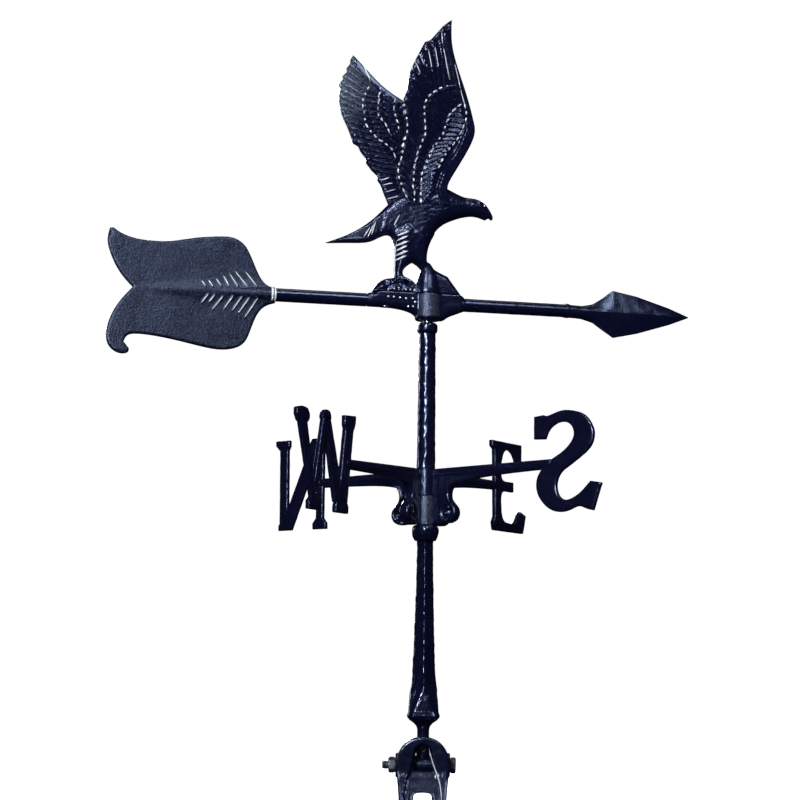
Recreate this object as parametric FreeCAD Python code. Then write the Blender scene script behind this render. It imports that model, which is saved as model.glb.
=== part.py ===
import FreeCAD, Part

import math
import os

# Roof-mounted weather vane: a cast eagle on an arrow that turns on a steel spindle,
# over four compass letters, a faceted post and a folding two-legged roof mount.
#
# Millimetres. The origin lies on the spindle's axis, in the plane of the two feet.
# +Z is up along the spindle, and +X is along the pivot bolt, towards its head.

os.makedirs("parts", exist_ok=True)

V = FreeCAD.Vector
UP = V(0, 0, 1)

# ---- bearings of the turning parts at rest, counter-clockwise from +X --------------
ARROW_HEADING = 13.7
EAST_HEADING = 55.7
SOUTH_HEADING = EAST_HEADING - 90

# ---- heights ------------------------------------------------------------------------
BOLT_Z = 76.0
SOCKET_TOP = 95.0
NECK_TOP = 111.0
COLUMN_WIDEST = 121.4
COLUMN_SHOULDER = 149.0
COLUMN_TOP = 285.6
COLLAR_TOP = 300.0
LETTER_HEIGHT = 90.0
BARREL_GAP = 0.2                      # running gap above and below the letters' barrels
BARREL_BOTTOM = COLLAR_TOP + BARREL_GAP
BARREL_SEAM = 328.0
SPACER_BOTTOM = 354.5
BARREL_TOP = SPACER_BOTTOM - BARREL_GAP
LETTER_MID = 347.0                    # also the centre line of the four arms
SPACER_TOP = 494.9
ARROW_Z = 514.4
HUB_BOTTOM = 497.4
ORNAMENT_SEAT = 522.9                 # top of the arrow's hub, where the eagle stands

# ---- spindle and bearing --------------------------------------------------------------
SPINDLE_R = 4.5
RUNNING_R = SPINDLE_R + 0.05
SPINDLE_TOP = 513.5
SPINDLE_BOTTOM = 86.5
BALL_R = 2.9
BUSH_R = 6.0
BUSH_TOP = 512.0
BORE_TOP = SPINDLE_TOP + 2 * BALL_R + 0.05

# ---- arrow ------------------------------------------------------------------------------
ROD_R = 6.4
SPIGOT_R = 4.0
SPIGOT_LENGTH = 18.0
HUB_REAR = -60.0
HUB_FRONT = 36.0
TAIL_FACE = -149.0
HEAD_FACE = 137.0
TAIL_THICK = 6.0
ORNAMENT_SCREWS_X = (-42.0, 25.0)
ORNAMENT_SCREW_R = 2.5
ORNAMENT_HEAD_R = 4.5
ORNAMENT_SCREW_DEPTH = 7.0            # how far the screws reach up into the eagle's rock

# ---- letters ----------------------------------------------------------------------------
LETTER_THICK = 5.0
ARM_THICK = 6.0
SCROLL_THICK = 9.0
BARREL_R = 9.2
WEB_CLEAR = 0.4                       # gap between a web and the other casting's barrel
# how much higher each letter sits than the arms' centre line
SOUTH_RISE, NORTH_RISE, EAST_RISE, WEST_RISE = 4.0, -1.0, 2.3, -1.3

# ---- set screws ---------------------------------------------------------------------------
COLLAR_SCREW_R = 2.5
COLLAR_SCREW_Z = COLUMN_TOP + 7.5
SOCKET_SCREW_R = 2.5
SOCKET_SCREW_Z = 91.0
COMPASS_SCREW_R = 2.2
COMPASS_SCREW_LENGTH = 6.2
COMPASS_SCREW_HEADING = EAST_HEADING + 45

# ---- roof mount ---------------------------------------------------------------------------
PIVOT_R = 4.0
PIVOT_HOLE_R = PIVOT_R + 0.05
KNUCKLE_R = 9.0
KNUCKLE_HALF = 14.4
CHEEK_R = 11.0
INNER_CHEEK = (14.7, 19.8)
OUTER_CHEEK = (20.1, 25.4)
HEAD_SEAT = 25.5
HEX_ACROSS = 13.0
HEAD_LENGTH = 5.3
NUT_LENGTH = 6.8
THREAD_END = -38.0
LEG_OFFSET = 15.0                     # distance of a leg's inner face from the bolt's axis
LEG_WEB = 4.0
LEG_RIB = 8.0
ARCH_R = 25.4
ARCH_RISE = 26.4
LEG_BEND_Z = BOLT_Z - 10
FOOT_INNER = 47.0
FOOT_OUTER = 92.0
FOOT_HALF = 31.0
FOOT_THICK = 5.0
SCREW_X = 20.0
SCREW_Y = 74.0
SCREW_HOLE_R = 2.75


# ==== helpers =================================================================================

def loop(*stretches):
    """Closed outline in the XZ plane. Two points make a line, more make a smooth curve."""
    edges = []
    for stretch in stretches:
        points = [V(x, 0, z) for x, z in stretch]
        if len(points) == 2:
            edges.append(Part.LineSegment(points[0], points[1]).toShape())
        else:
            curve = Part.BSplineCurve()
            curve.interpolate(points)
            edges.append(curve.toShape())
    return Part.Wire(edges)


def polygon(points):
    """Closed straight-sided outline in the XZ plane."""
    corners = [V(x, 0, z) for x, z in points]
    return Part.makePolygon(corners + corners[:1])


def slab(outline, thickness):
    """Plate with the given XZ outline, centred on the plane y = 0."""
    plate = Part.Face(outline).extrude(V(0, thickness, 0))
    plate.translate(V(0, -thickness / 2, 0))
    return plate


def along_x(points, x_from, x_to):
    """Bar along X with a straight-sided YZ section."""
    corners = [V(x_from, y, z) for y, z in points]
    return Part.Face(Part.makePolygon(corners + corners[:1])).extrude(V(x_to - x_from, 0, 0))


def rod_x(radius, x_from, x_to, y=0.0, z=0.0):
    return Part.makeCylinder(radius, x_to - x_from, V(x_from, y, z), V(1, 0, 0))


def rod_y(radius, y_from, y_to, x=0.0, z=0.0):
    return Part.makeCylinder(radius, y_to - y_from, V(x, y_from, z), V(0, 1, 0))


def rod_z(radius, z_from, z_to, x=0.0, y=0.0):
    return Part.makeCylinder(radius, z_to - z_from, V(x, y, z_from), UP)


def ellipsoid(centre, half_sizes, lean=0.0):
    """Ellipsoid about centre, with its nose raised by lean degrees."""
    matrix = FreeCAD.Matrix()
    matrix.scale(V(*half_sizes))
    body = Part.makeSphere(1.0).transformGeometry(matrix)
    body.rotate(V(0, 0, 0), V(0, 1, 0), -lean)
    body.translate(V(*centre))
    return body


def fused(first, *others):
    whole = first.multiFuse(list(others)).removeSplitter()
    return whole.Solids[0] if len(whole.Solids) == 1 else whole


def facets(sections):
    """Straight-sided solid through sections of equal corner count, given as (z, corners)."""
    wires = []
    for z, corners in sections:
        points = [V(x, y, z) for x, y in corners]
        wires.append(Part.makePolygon(points + points[:1]))
    return Part.makeLoft(wires, True, True)


def hexagon(x_from, x_to, across):
    """Hexagonal prism along X about the pivot bolt's axis."""
    corner = across / math.sqrt(3)
    points = []
    for i in range(6):
        turn = math.radians(60 * i)
        points.append((corner * math.sin(turn), BOLT_Z + corner * math.cos(turn)))
    return along_x(points, x_from, x_to)


def socket_recess(radius, depth):
    """Hexagon socket, as cut into the outer end of a set screw that points along +Y."""
    corner = radius * 0.58
    points = []
    for i in range(6):
        turn = math.radians(60 * i)
        points.append((corner * math.cos(turn), corner * math.sin(turn)))
    return Part.Face(polygon(points)).extrude(V(0, depth, 0))


def set_screw(radius, y_from, y_to, z):
    """Headless set screw along Y, driven from its low-Y end."""
    screw = rod_y(radius, y_from, y_to, z=z)
    recess = socket_recess(radius, 2.2)
    recess.translate(V(0, y_from, z))
    return screw.cut(recess)


def placed(shape, heading, height=0.0):
    """Turn a shape drawn along +X to its heading, and lift it to its height."""
    copy = shape.copy()
    copy.translate(V(0, 0, height))
    copy.rotate(V(0, 0, 0), UP, heading)
    return copy


def save(name, shape):
    if not shape.isValid():
        print("INVALID", name)
    shape.exportStep("parts/%s.step" % name)
    print("%-22s solids %d  volume %.0f mm3" % (name, len(shape.Solids), shape.Volume))


# ==== post ======================================================================================

def spindle_rod():
    return rod_z(SPINDLE_R, SPINDLE_BOTTOM, SPINDLE_TOP)


def upper_spacer():
    """Slightly flared tube with a rounded collar at its top."""
    collar_r = 9.8
    collar_low = SPACER_TOP - 10.5
    tube = Part.makeCone(9.2, 8.4, collar_low + 2 - SPACER_BOTTOM, V(0, 0, SPACER_BOTTOM), UP)
    collar = rod_z(collar_r, collar_low, SPACER_TOP)
    collar = collar.makeFillet(3.4, [e for e in collar.Edges if len(e.Vertexes) == 1])
    bore = rod_z(SPINDLE_R, SPACER_BOTTOM - 1, SPACER_TOP + 1)
    return fused(tube, collar).cut(bore)


def collar_ball():
    """Rounded collar that carries the letters, bored for the spindle."""
    top, widest, foot = 11.0, 13.0, 10.0
    height = COLLAR_TOP - COLUMN_TOP
    side = Part.BSplineCurve()
    side.interpolate([
        V(top, 0, height),
        V(widest - 0.3, 0, height * 0.8),
        V(widest, 0, height * 0.55),
        V(widest - 1, 0, height * 0.25),
        V(foot, 0, 0),
    ])
    edges = [
        side.toShape(),
        Part.LineSegment(V(foot, 0, 0), V(SPINDLE_R, 0, 0)).toShape(),
        Part.LineSegment(V(SPINDLE_R, 0, 0), V(SPINDLE_R, 0, height)).toShape(),
        Part.LineSegment(V(SPINDLE_R, 0, height), V(top, 0, height)).toShape(),
    ]
    ball = Part.Face(Part.Wire(edges)).revolve(V(0, 0, 0), UP, 360)
    ball.translate(V(0, 0, COLUMN_TOP))
    hole = rod_y(COLLAR_SCREW_R, 0, 20, z=COLLAR_SCREW_Z)
    return ball.cut(hole).Solids[0]


def collar_set_screw():
    screw = set_screw(COLLAR_SCREW_R, -11.5, -SPINDLE_R, COLLAR_SCREW_Z)
    screw.rotate(V(0, 0, 0), UP, 180)
    return screw


def turned_square(corner):
    """Square section with its corners on the X and Y axes, each corner slightly blunted."""
    blunt = 0.2
    one = [(blunt, corner), (-blunt, corner)]
    return one + [(-y, x) for x, y in one] + [(-x, -y) for x, y in one] + [(y, -x) for x, y in one]


def blunted_square(half_side, half_face):
    """Square section with its faces across the X and Y axes and its corners cut off."""
    one = [(half_face, half_side), (-half_face, half_side)]
    return one + [(-y, x) for x, y in one] + [(-x, -y) for x, y in one] + [(y, -x) for x, y in one]


def lower_column():
    """Faceted column: a turned square that opens into a square foot over a round neck."""
    shaft = facets([
        (COLUMN_TOP, turned_square(8.9)),
        (COLUMN_TOP - 45, turned_square(9.6)),
        (COLUMN_TOP - 100, turned_square(11.4)),
        (COLUMN_SHOULDER, turned_square(12.9)),
    ])
    flare = facets([
        (COLUMN_SHOULDER, turned_square(12.9)),
        (COLUMN_WIDEST + 4, blunted_square(14.2, 9.5)),
        (COLUMN_WIDEST, blunted_square(15.5, 11.5)),
    ])
    neck_r = 6.0
    under = facets([
        (COLUMN_WIDEST, blunted_square(15.5, 11.5)),
        (COLUMN_WIDEST - 1.5, blunted_square(15.0, 11.0)),
        (NECK_TOP, blunted_square(neck_r, neck_r * 0.45)),
    ])
    neck = rod_z(neck_r, SOCKET_TOP, NECK_TOP + 1.5)
    bore = rod_z(SPINDLE_R, SOCKET_TOP - 1, COLUMN_TOP + 1)
    return fused(shaft, flare, under, neck).cut(bore)


# ==== roof mount ================================================================================

def mount_socket():
    """Upright socket for the spindle, with a cross knuckle for the pivot bolt."""
    post_r = 6.4
    post = rod_z(post_r, BOLT_Z, SOCKET_TOP)
    knuckle = rod_x(KNUCKLE_R, -KNUCKLE_HALF, KNUCKLE_HALF, z=BOLT_Z)
    body = fused(post, knuckle)
    body = body.cut(rod_z(SPINDLE_R, SPINDLE_BOTTOM, SOCKET_TOP + 1))
    body = body.cut(rod_x(PIVOT_R, -KNUCKLE_HALF - 1, KNUCKLE_HALF + 1, z=BOLT_Z))
    return body.cut(rod_y(SOCKET_SCREW_R, -post_r - 2, 0, z=SOCKET_SCREW_Z)).Solids[0]


def socket_set_screw():
    return set_screw(SOCKET_SCREW_R, -7.2, -SPINDLE_R, SOCKET_SCREW_Z)


def pivot_bolt():
    shank = rod_x(PIVOT_R, THREAD_END, HEAD_SEAT, z=BOLT_Z)
    head = hexagon(HEAD_SEAT, HEAD_SEAT + HEAD_LENGTH, HEX_ACROSS)
    return fused(shank, head)


def pivot_nut():
    nut = hexagon(-HEAD_SEAT - NUT_LENGTH, -HEAD_SEAT, HEX_ACROSS)
    return nut.cut(rod_x(PIVOT_R, -50, 0, z=BOLT_Z))


def leg_strip(thickness):
    """Bent strip across the full width of a leg, standing thickness off its inner face."""
    slope = math.atan2(FOOT_INNER - LEG_OFFSET, LEG_BEND_Z - FOOT_THICK)
    top = BOLT_Z + ARCH_RISE + 1
    outer_y = LEG_OFFSET + thickness
    points = [
        (-LEG_OFFSET, top),
        (-LEG_OFFSET, LEG_BEND_Z),
        (-FOOT_INNER, FOOT_THICK),
        (-FOOT_INNER, 1.0),
        (-FOOT_INNER - thickness / math.cos(slope), 1.0),
        (-FOOT_INNER - thickness / math.cos(slope), FOOT_THICK),
        (-outer_y, LEG_BEND_Z + thickness * math.tan(slope / 2)),
        (-outer_y, top),
    ]
    return along_x(points, -FOOT_HALF, FOOT_HALF)


def mirrored_loop(right_side):
    """Closed XZ outline from its right-hand side, listed from the top centre downwards."""
    left_side = [(-x, z) for x, z in reversed(right_side)]
    return loop(right_side, [right_side[-1], left_side[0]], left_side)


def leg_front():
    """A leg's outline seen from outside: an arch about the bolt over a slightly waisted leg."""
    arch = []
    for turn in (0, 30, 60, 90):
        side, rise = math.sin(math.radians(turn)), math.cos(math.radians(turn))
        arch.append((ARCH_R * side, BOLT_Z + ARCH_RISE * rise))
    lower = [arch[-1], (23.6, BOLT_Z - 14), (22.2, BOLT_Z - 30), (22.4, 26), (25.5, 1)]
    left_lower = [(-x, z) for x, z in reversed(lower)]
    left_arch = [(-x, z) for x, z in reversed(arch)]
    return loop(arch, lower, [lower[-1], left_lower[0]], left_lower, left_arch)


def leg():
    """One leg of the mount, on the -Y side. The other leg is the same casting turned round."""
    deep = 120.0
    outline = slab(leg_front(), 2 * deep)
    recess = slab(mirrored_loop([
        (0, BOLT_Z + 20), (6.5, BOLT_Z + 14.5), (9.6, BOLT_Z), (14.6, BOLT_Z - 14),
        (16.8, BOLT_Z - 30), (17.6, 24), (18, 8),
    ]), 2 * deep)
    rim = leg_strip(LEG_RIB).common(outline).cut(recess)
    web = leg_strip(LEG_WEB).common(outline)

    foot = Part.makeBox(2 * FOOT_HALF, FOOT_OUTER - FOOT_INNER, FOOT_THICK,
                        V(-FOOT_HALF, -FOOT_OUTER, 0))
    corners = [e for e in foot.Edges
               if e.Length < FOOT_THICK + 0.01 and e.CenterOfMass.y < -FOOT_OUTER + 1]
    foot = foot.makeFillet(9.0, corners)

    cheeks = []
    for low, high, side in ((OUTER_CHEEK[0], OUTER_CHEEK[1], -1), (INNER_CHEEK[0], INNER_CHEEK[1], 1)):
        x_from, x_to = sorted((side * low, side * high))
        eye = rod_x(CHEEK_R, x_from, x_to, z=BOLT_Z)
        arm = Part.makeBox(x_to - x_from, LEG_OFFSET + LEG_WEB, 2 * CHEEK_R,
                           V(x_from, -LEG_OFFSET - LEG_WEB, BOLT_Z - CHEEK_R))
        cheeks += [eye, arm]
    body = fused(rim, web, foot, *cheeks)

    upper_window = slab(mirrored_loop([
        (0, BOLT_Z + 18.5), (5.4, BOLT_Z + 14), (7.6, BOLT_Z + 4), (8.6, BOLT_Z - 5),
    ]), 2 * deep)
    upper_window = upper_window.common(Part.makeBox(40, deep, 60, V(-20, -deep, BOLT_Z - 20)))
    lower_window = slab(mirrored_loop([
        (0, BOLT_Z - 24.6), (6.4, BOLT_Z - 25.4), (8.3, BOLT_Z - 28), (8.6, 30), (8.6, 16),
    ]), 2 * deep)
    keep_foot = Part.makeBox(60, deep, 60, V(-30, -deep, FOOT_THICK + 7))
    body = body.cut(upper_window).cut(lower_window.common(keep_foot))
    body = body.cut(rod_x(PIVOT_HOLE_R, -30, 30, z=BOLT_Z))
    for x in (-SCREW_X, SCREW_X):
        body = body.cut(rod_z(SCREW_HOLE_R, -1, FOOT_THICK + 1, x, -SCREW_Y))
    return body.Solids[0]


# ==== compass letters ===========================================================================
# Each casting is drawn in the XZ plane: x is the distance from the spindle along its own
# arms, and z is the height above the centre line of the arms. E and W read from the low-Y
# side, N and S from the high-Y side.

def letter_e():
    half = LETTER_HEIGHT / 2
    return slab(loop(
        [(119, half - 9), (114, half - 6)], [(114, half - 6), (114, half)],
        [(114, half), (169.5, half)], [(169.5, half), (169.5, 24)], [(169.5, 24), (161, 24)],
        [(161, 24), (155, 34), (145, 37.5), (137, 34.5), (132, 24)], [(132, 24), (131.5, 13)],
        [(131.5, 13), (133.5, 7.5), (139, 5.5)], [(139, 5.5), (154.5, 5.5)],
        [(154.5, 5.5), (154.5, -4.5)], [(154.5, -4.5), (140, -4.5)],
        [(140, -4.5), (133.5, -7), (131.5, -14)], [(131.5, -14), (132.5, -26)],
        [(132.5, -26), (137, -34), (146, -36), (158, -35), (165, -26), (168.5, -23)],
        [(168.5, -23), (179, -26.5)], [(179, -26.5), (173.5, -half)],
        [(173.5, -half), (119, -half)], [(119, -half), (117.5, -37)],
        [(117.5, -37), (120.5, -31)], [(120.5, -31), (119, half - 9)],
    ), LETTER_THICK)


def letter_w():
    """W on the far side of the spindle, with a slab foot under each of its two points."""
    half = LETTER_HEIGHT / 2
    strokes = [
        polygon([(-200, 33), (-189, 33), (-173, -36), (-180.5, -36)]),
        polygon([(-165, half - 3), (-155.5, half - 3), (-176, -36), (-180, -36)]),
        polygon([(-165, half - 3), (-155.5, half - 3), (-132, -36), (-146, -36)]),
        polygon([(-132, 33), (-119.5, 33), (-127.5, -36), (-141, -36)]),
    ]
    slabs = [
        loop([(-204.5, half - 2), (-204.5, 37)], [(-204.5, 37), (-201, 31)],
             [(-201, 31), (-188, 31)], [(-188, 31), (-185, 37), (-188.5, half - 1)],
             [(-188.5, half - 1), (-196, half), (-204.5, half - 2)]),
        loop([(-167, half - 5), (-164, half), (-156.5, half), (-153.5, half - 5)],
             [(-153.5, half - 5), (-153.5, half - 8)], [(-153.5, half - 8), (-167, half - 8)],
             [(-167, half - 8), (-167, half - 5)]),
        polygon([(-133.5, half - 1), (-116, half), (-116.5, half - 7), (-119, 31), (-132, 31),
                 (-133.5, 36)]),
        polygon([(-185, -half), (-166.5, -half), (-166.5, -37.5), (-170.5, -34), (-182, -34),
                 (-185, -37.5)]),
        polygon([(-145.5, -half), (-126, -half), (-125.5, -38), (-129, -34), (-143, -34),
                 (-145.5, -38)]),
    ]
    return fused(*[slab(outline, LETTER_THICK) for outline in strokes + slabs])


def letter_s():
    half = LETTER_HEIGHT / 2 + 1.5
    letter = slab(loop(
        [(121, 23.5), (121, half - 2)], [(121, half - 2), (131, half - 1)],
        [(131, half - 1), (134, half - 2), (147, 48), (158, 48.5), (170, 45.5), (178, 39.5),
         (183, 31), (184, 24), (181, 15), (172, 6.5), (158, -2.5), (150, -8), (146, -14),
         (145, -22), (148, -30), (154, -33.5), (162, -32), (171, -26.5), (180.5, -17.5)],
        [(180.5, -17.5), (192, -19.5)], [(192, -19.5), (183.5, 2 - half)],
        [(183.5, 2 - half), (176, -42.5), (168, -40), (160, -42.5), (151, -44.5), (141, -43),
         (131, -36), (125, -27), (123.5, -18), (126, -9), (133, -1), (141, 5), (150, 10),
         (158, 16.5), (162.5, 23), (163, 29), (159, 35.5), (150, 38), (142, 35.5), (136, 30),
         (133, 23)],
        [(133, 23), (121, 23.5)],
    ), LETTER_THICK)
    return letter


def letter_n():
    """N on the far side of the spindle, its diagonal rising towards the spindle."""
    half = LETTER_HEIGHT / 2
    outlines = [
        polygon([(-175.5, 36), (-165.5, 36), (-164.5, -half), (-174.5, -half)]),
        polygon([(-176, -half), (-160, -half), (-124, half - 6), (-136, half - 3),
                 (-163, -20), (-176, -half + 5)]),
        polygon([(-129.5, half - 5), (-121, half - 5), (-121, -36), (-129.5, -36)]),
        polygon([(-181, half), (-163.5, half), (-163.5, half - 6), (-166, 34), (-175, 34),
                 (-181, half - 5)]),
        polygon([(-138.5, half - 5), (-135.5, half), (-117.5, half), (-117.5, half - 7),
                 (-121, 35), (-138.5, 35)]),
        polygon([(-133.5, -half), (-117, -half), (-117, -39), (-121, -34), (-129.5, -34),
                 (-133.5, -39)]),
    ]
    return fused(*[slab(outline, LETTER_THICK) for outline in outlines])


def arm(side, reach, rise):
    """Tapered arm from the barrel to a letter that sits higher by rise."""
    root, top, bottom = 6.3, 4.6 + rise, -4.6 + rise
    outline = loop(
        [(side * 5, root), (side * reach, top)], [(side * reach, top), (side * reach, bottom)],
        [(side * reach, bottom), (side * 75, -5.8 + rise / 2), (side * 34, -10), (side * 5, -20)],
        [(side * 5, -20), (side * 5, root)],
    )
    return slab(outline, ARM_THICK)


def scroll(side):
    """Scroll bracket under an arm, ending in a rounded volute."""
    low = BARREL_BOTTOM - LETTER_MID + 1.2
    outline = loop(
        [(side * 5, -4), (side * 34, -8)],
        [(side * 34, -8), (side * 29.5, -14), (side * 28.5, -21), (side * 31, -26),
         (side * 36, -32), (side * 37, -38), (side * 34.5, -43), (side * 29, low)],
        [(side * 29, low), (side * 5, low)],
        [(side * 5, low), (side * 5, -4)],
    )
    return slab(outline, SCROLL_THICK)


def casting(letters, reaches, rises, barrel_low, barrel_high, other_low, other_high):
    """Two letters on one half-height barrel, relieved around the other casting's barrel."""
    low, high = barrel_low - LETTER_MID, barrel_high - LETTER_MID
    parts = [rod_z(BARREL_R, low, high)]
    for side, letter, reach, rise in zip((1, -1), letters, reaches, rises):
        letter.translate(V(0, 0, rise))
        parts += [arm(side, reach, rise), scroll(side), letter]
    body = fused(*parts)
    relief = rod_z(BARREL_R + WEB_CLEAR, other_low - LETTER_MID, other_high - LETTER_MID)
    bore = rod_z(RUNNING_R, -60, 60)
    return body.cut(relief).cut(bore)


def screw_hole(low, high):
    """Tapped hole through one side of a half barrel, midway between two arms."""
    hole = rod_y(COMPASS_SCREW_R, 0, 20, z=(low + high) / 2)
    return placed(hole, COMPASS_SCREW_HEADING - 90)


def north_south_casting():
    body = casting([letter_s(), letter_n()], (140, 126), (SOUTH_RISE, NORTH_RISE),
                   BARREL_SEAM, BARREL_TOP, BARREL_BOTTOM - 1, BARREL_SEAM)
    body = placed(body, SOUTH_HEADING, LETTER_MID)
    return body.cut(screw_hole(BARREL_SEAM, BARREL_TOP)).Solids[0]


def east_west_casting():
    body = casting([letter_e(), letter_w()], (124, 130), (EAST_RISE, WEST_RISE),
                   BARREL_BOTTOM, BARREL_SEAM, BARREL_SEAM, BARREL_TOP + 1)
    body = placed(body, EAST_HEADING, LETTER_MID)
    return body.cut(screw_hole(BARREL_BOTTOM, BARREL_SEAM)).Solids[0]


def compass_set_screws():
    """One set screw in each half barrel, in line with each other behind the post."""
    screws = []
    for low, high in ((BARREL_SEAM, BARREL_TOP), (BARREL_BOTTOM, BARREL_SEAM)):
        outer = RUNNING_R + COMPASS_SCREW_LENGTH
        screw = set_screw(COMPASS_SCREW_R, -outer, -RUNNING_R, (low + high) / 2)
        screws.append(placed(screw, COMPASS_SCREW_HEADING + 90))
    return Part.Compound(screws)


# ==== arrow =====================================================================================
# Drawn in the XZ plane: x runs along the arrow towards its head, from the spindle's axis,
# and z is the height above the arrow's own axis.

def arrow_hub():
    """Centre casting: a boss for the bearing between two spigots for the rods."""
    low, seat = HUB_BOTTOM - ARROW_Z, ORNAMENT_SEAT - ARROW_Z
    side = loop(
        [(HUB_REAR, -ROD_R), (HUB_REAR, ROD_R)], [(HUB_REAR, ROD_R), (HUB_REAR + 8, seat)],
        [(HUB_REAR + 8, seat), (HUB_FRONT - 4, seat)],
        [(HUB_FRONT - 4, seat), (HUB_FRONT, ROD_R)], [(HUB_FRONT, ROD_R), (HUB_FRONT, -ROD_R)],
        [(HUB_FRONT, -ROD_R), (28, -9.6), (21, -12.6), (16, low + 1)],
        [(16, low + 1), (14, low)], [(14, low), (-10, low)],
        [(-10, low), (-14.5, -12), (-30, -7.4), (HUB_REAR, -ROD_R)],
    )
    body = slab(side, 13.0)
    boss = rod_z(12.5, low, seat)
    ridge = rod_x(ROD_R, HUB_REAR, HUB_FRONT)
    rear = rod_x(SPIGOT_R, HUB_REAR - SPIGOT_LENGTH, HUB_REAR + 1)
    front = rod_x(SPIGOT_R, HUB_FRONT - 1, HUB_FRONT + SPIGOT_LENGTH)
    body = fused(body, boss, ridge, rear, front)
    body = body.cut(rod_z(BUSH_R, low - 1, BUSH_TOP - ARROW_Z))
    body = body.cut(rod_z(SPINDLE_R + 0.4, low - 1, BORE_TOP - ARROW_Z))
    for x in ORNAMENT_SCREWS_X:
        body = body.cut(rod_z(ORNAMENT_SCREW_R, -20, seat + 1, x))
        body = body.cut(rod_z(ORNAMENT_HEAD_R, -20, -2.0, x))
    return body.Solids[0]


def ornament_screws():
    """Two cap screws that hold the eagle down on the hub from below."""
    screws = []
    for x in ORNAMENT_SCREWS_X:
        shank = rod_z(ORNAMENT_SCREW_R, -2.0, ORNAMENT_SEAT - ARROW_Z + ORNAMENT_SCREW_DEPTH, x)
        head = rod_z(ORNAMENT_HEAD_R, -6.0, -2.0, x)
        screws.append(fused(shank, head))
    return Part.Compound(screws)


def hub_bush():
    bush = rod_z(BUSH_R, HUB_BOTTOM - ARROW_Z, BUSH_TOP - ARROW_Z)
    return bush.cut(rod_z(RUNNING_R, HUB_BOTTOM - ARROW_Z - 1, 20))


def thrust_ball():
    return Part.makeSphere(BALL_R, V(0, 0, SPINDLE_TOP + BALL_R))


def tube_x(x_from, x_to):
    return rod_x(ROD_R, x_from, x_to).cut(rod_x(SPIGOT_R, x_from - 1, x_to + 1))


def arrow_tail():
    """Feathered fishtail plate with a rounded midrib that starts at the rod's socket."""
    outline = loop(
        [(-149, 6.8), (-156, 8), (-163, 15), (-169, 27), (-174, 38), (-180, 47), (-190, 52.5),
         (-203, 53), (-225, 50.5), (-248, 46), (-264, 45), (-282, 46.5), (-296, 51),
         (-303, 55.5)],
        [(-303, 55.5), (-306.5, 55)],
        [(-306.5, 55), (-308.2, 44), (-305, 31), (-296, 14), (-283.5, 0)],
        [(-283.5, 0), (-296, -15), (-304.5, -32), (-307, -46), (-304, -56.5), (-294, -63),
         (-286, -61.5), (-285.5, -58)],
        [(-285.5, -58), (-290.5, -52)], [(-290.5, -52), (-287, -46), (-278, -44),
                                         (-255, -46), (-225, -51.5), (-203, -55), (-188, -53.5),
                                         (-178, -48), (-172, -36), (-165, -19), (-157, -11),
                                         (-149, -8)],
        [(-149, -8), (-149, 6.8)],
    )
    plate = slab(outline, TAIL_THICK)
    socket = rod_x(7.2, -164, TAIL_FACE)
    rib = Part.makeCone(1.0, 7.0, 78, V(-242, 0, 0), V(1, 0, 0))
    spigot = rod_x(SPIGOT_R, TAIL_FACE - 1, TAIL_FACE + SPIGOT_LENGTH)
    return fused(plate, socket, rib, spigot)


def arrow_head():
    """Spear head with a diamond section that is deepest along its axis."""
    stations = [
        (HEAD_FACE, 5.6, -6.2, 5.8), (155, 5.4, -7.2, 5.8), (166, 8.0, -10.5, 5.8),
        (176, 14.2, -17.5, 5.6), (187, 22.8, -24.5, 5.2), (212, 18.2, -19.0, 4.6),
        (245, 8.4, -8.6, 3.2), (265.4, 0.5, -0.5, 0.5),
    ]
    wires = []
    for x, top, bottom, half in stations:
        points = [V(x, 0, top), V(x, half, 0), V(x, 0, bottom), V(x, -half, 0)]
        wires.append(Part.makePolygon(points + points[:1]))
    blade = Part.makeLoft(wires, True, True)
    socket = rod_x(6.7, HEAD_FACE, HEAD_FACE + 14)
    spigot = rod_x(SPIGOT_R, HEAD_FACE - SPIGOT_LENGTH, HEAD_FACE + 1)
    return fused(blade, socket, spigot)


# ==== eagle =====================================================================================
# Drawn in the arrow's plane with the same x and z as the arrow. The bird faces +x.

WING_LEAN = 9.0
WING_HINGE_Z = 95.0
WING_THICK = 6.0


def near_wing():
    """Raised wing on the -Y side, leaning outwards."""
    outline = loop(
        [(20, 94), (15.5, 111.5), (19, 122.5), (33.5, 149), (40, 167.5), (38, 179.5),
         (28.5, 207.5), (14, 247.5), (12, 274.5)],
        [(12, 274.5), (3.5, 267.5), (-8, 253.5)], [(-8, 253.5), (-13, 251.5), (-21, 235)],
        [(-21, 235), (-27, 219), (-29, 204.5), (-32.5, 192)],
        [(-32.5, 192), (-29, 170.5), (-32, 141.5), (-36, 131)],
        [(-36, 131), (-33.5, 115.5), (-22.5, 94)], [(-22.5, 94), (20, 94)],
    )
    wing = slab(outline, WING_THICK)
    wing.translate(V(0, -8, 0))
    wing.rotate(V(0, -8, WING_HINGE_Z), V(1, 0, 0), WING_LEAN)
    return wing


def far_wing():
    """Raised wing on the +Y side, swept back over the tail."""
    outline = loop(
        [(2, 96), (-6, 150), (-14, 192), (-21, 207)],
        [(-21, 207), (-39, 219), (-55, 235), (-70.5, 252.5)],
        [(-70.5, 252.5), (-77, 237.5), (-85, 220.5)],
        [(-85, 220.5), (-85.5, 209), (-82.5, 187.5), (-72, 158.5)],
        [(-72, 158.5), (-65.5, 154), (-54, 129.5)], [(-54, 129.5), (-48.5, 122), (-38, 96)],
        [(-38, 96), (2, 96)],
    )
    wing = slab(outline, WING_THICK)
    wing.translate(V(0, 8, 0))
    wing.rotate(V(0, 8, WING_HINGE_Z), V(1, 0, 0), -WING_LEAN)
    return wing


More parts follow.
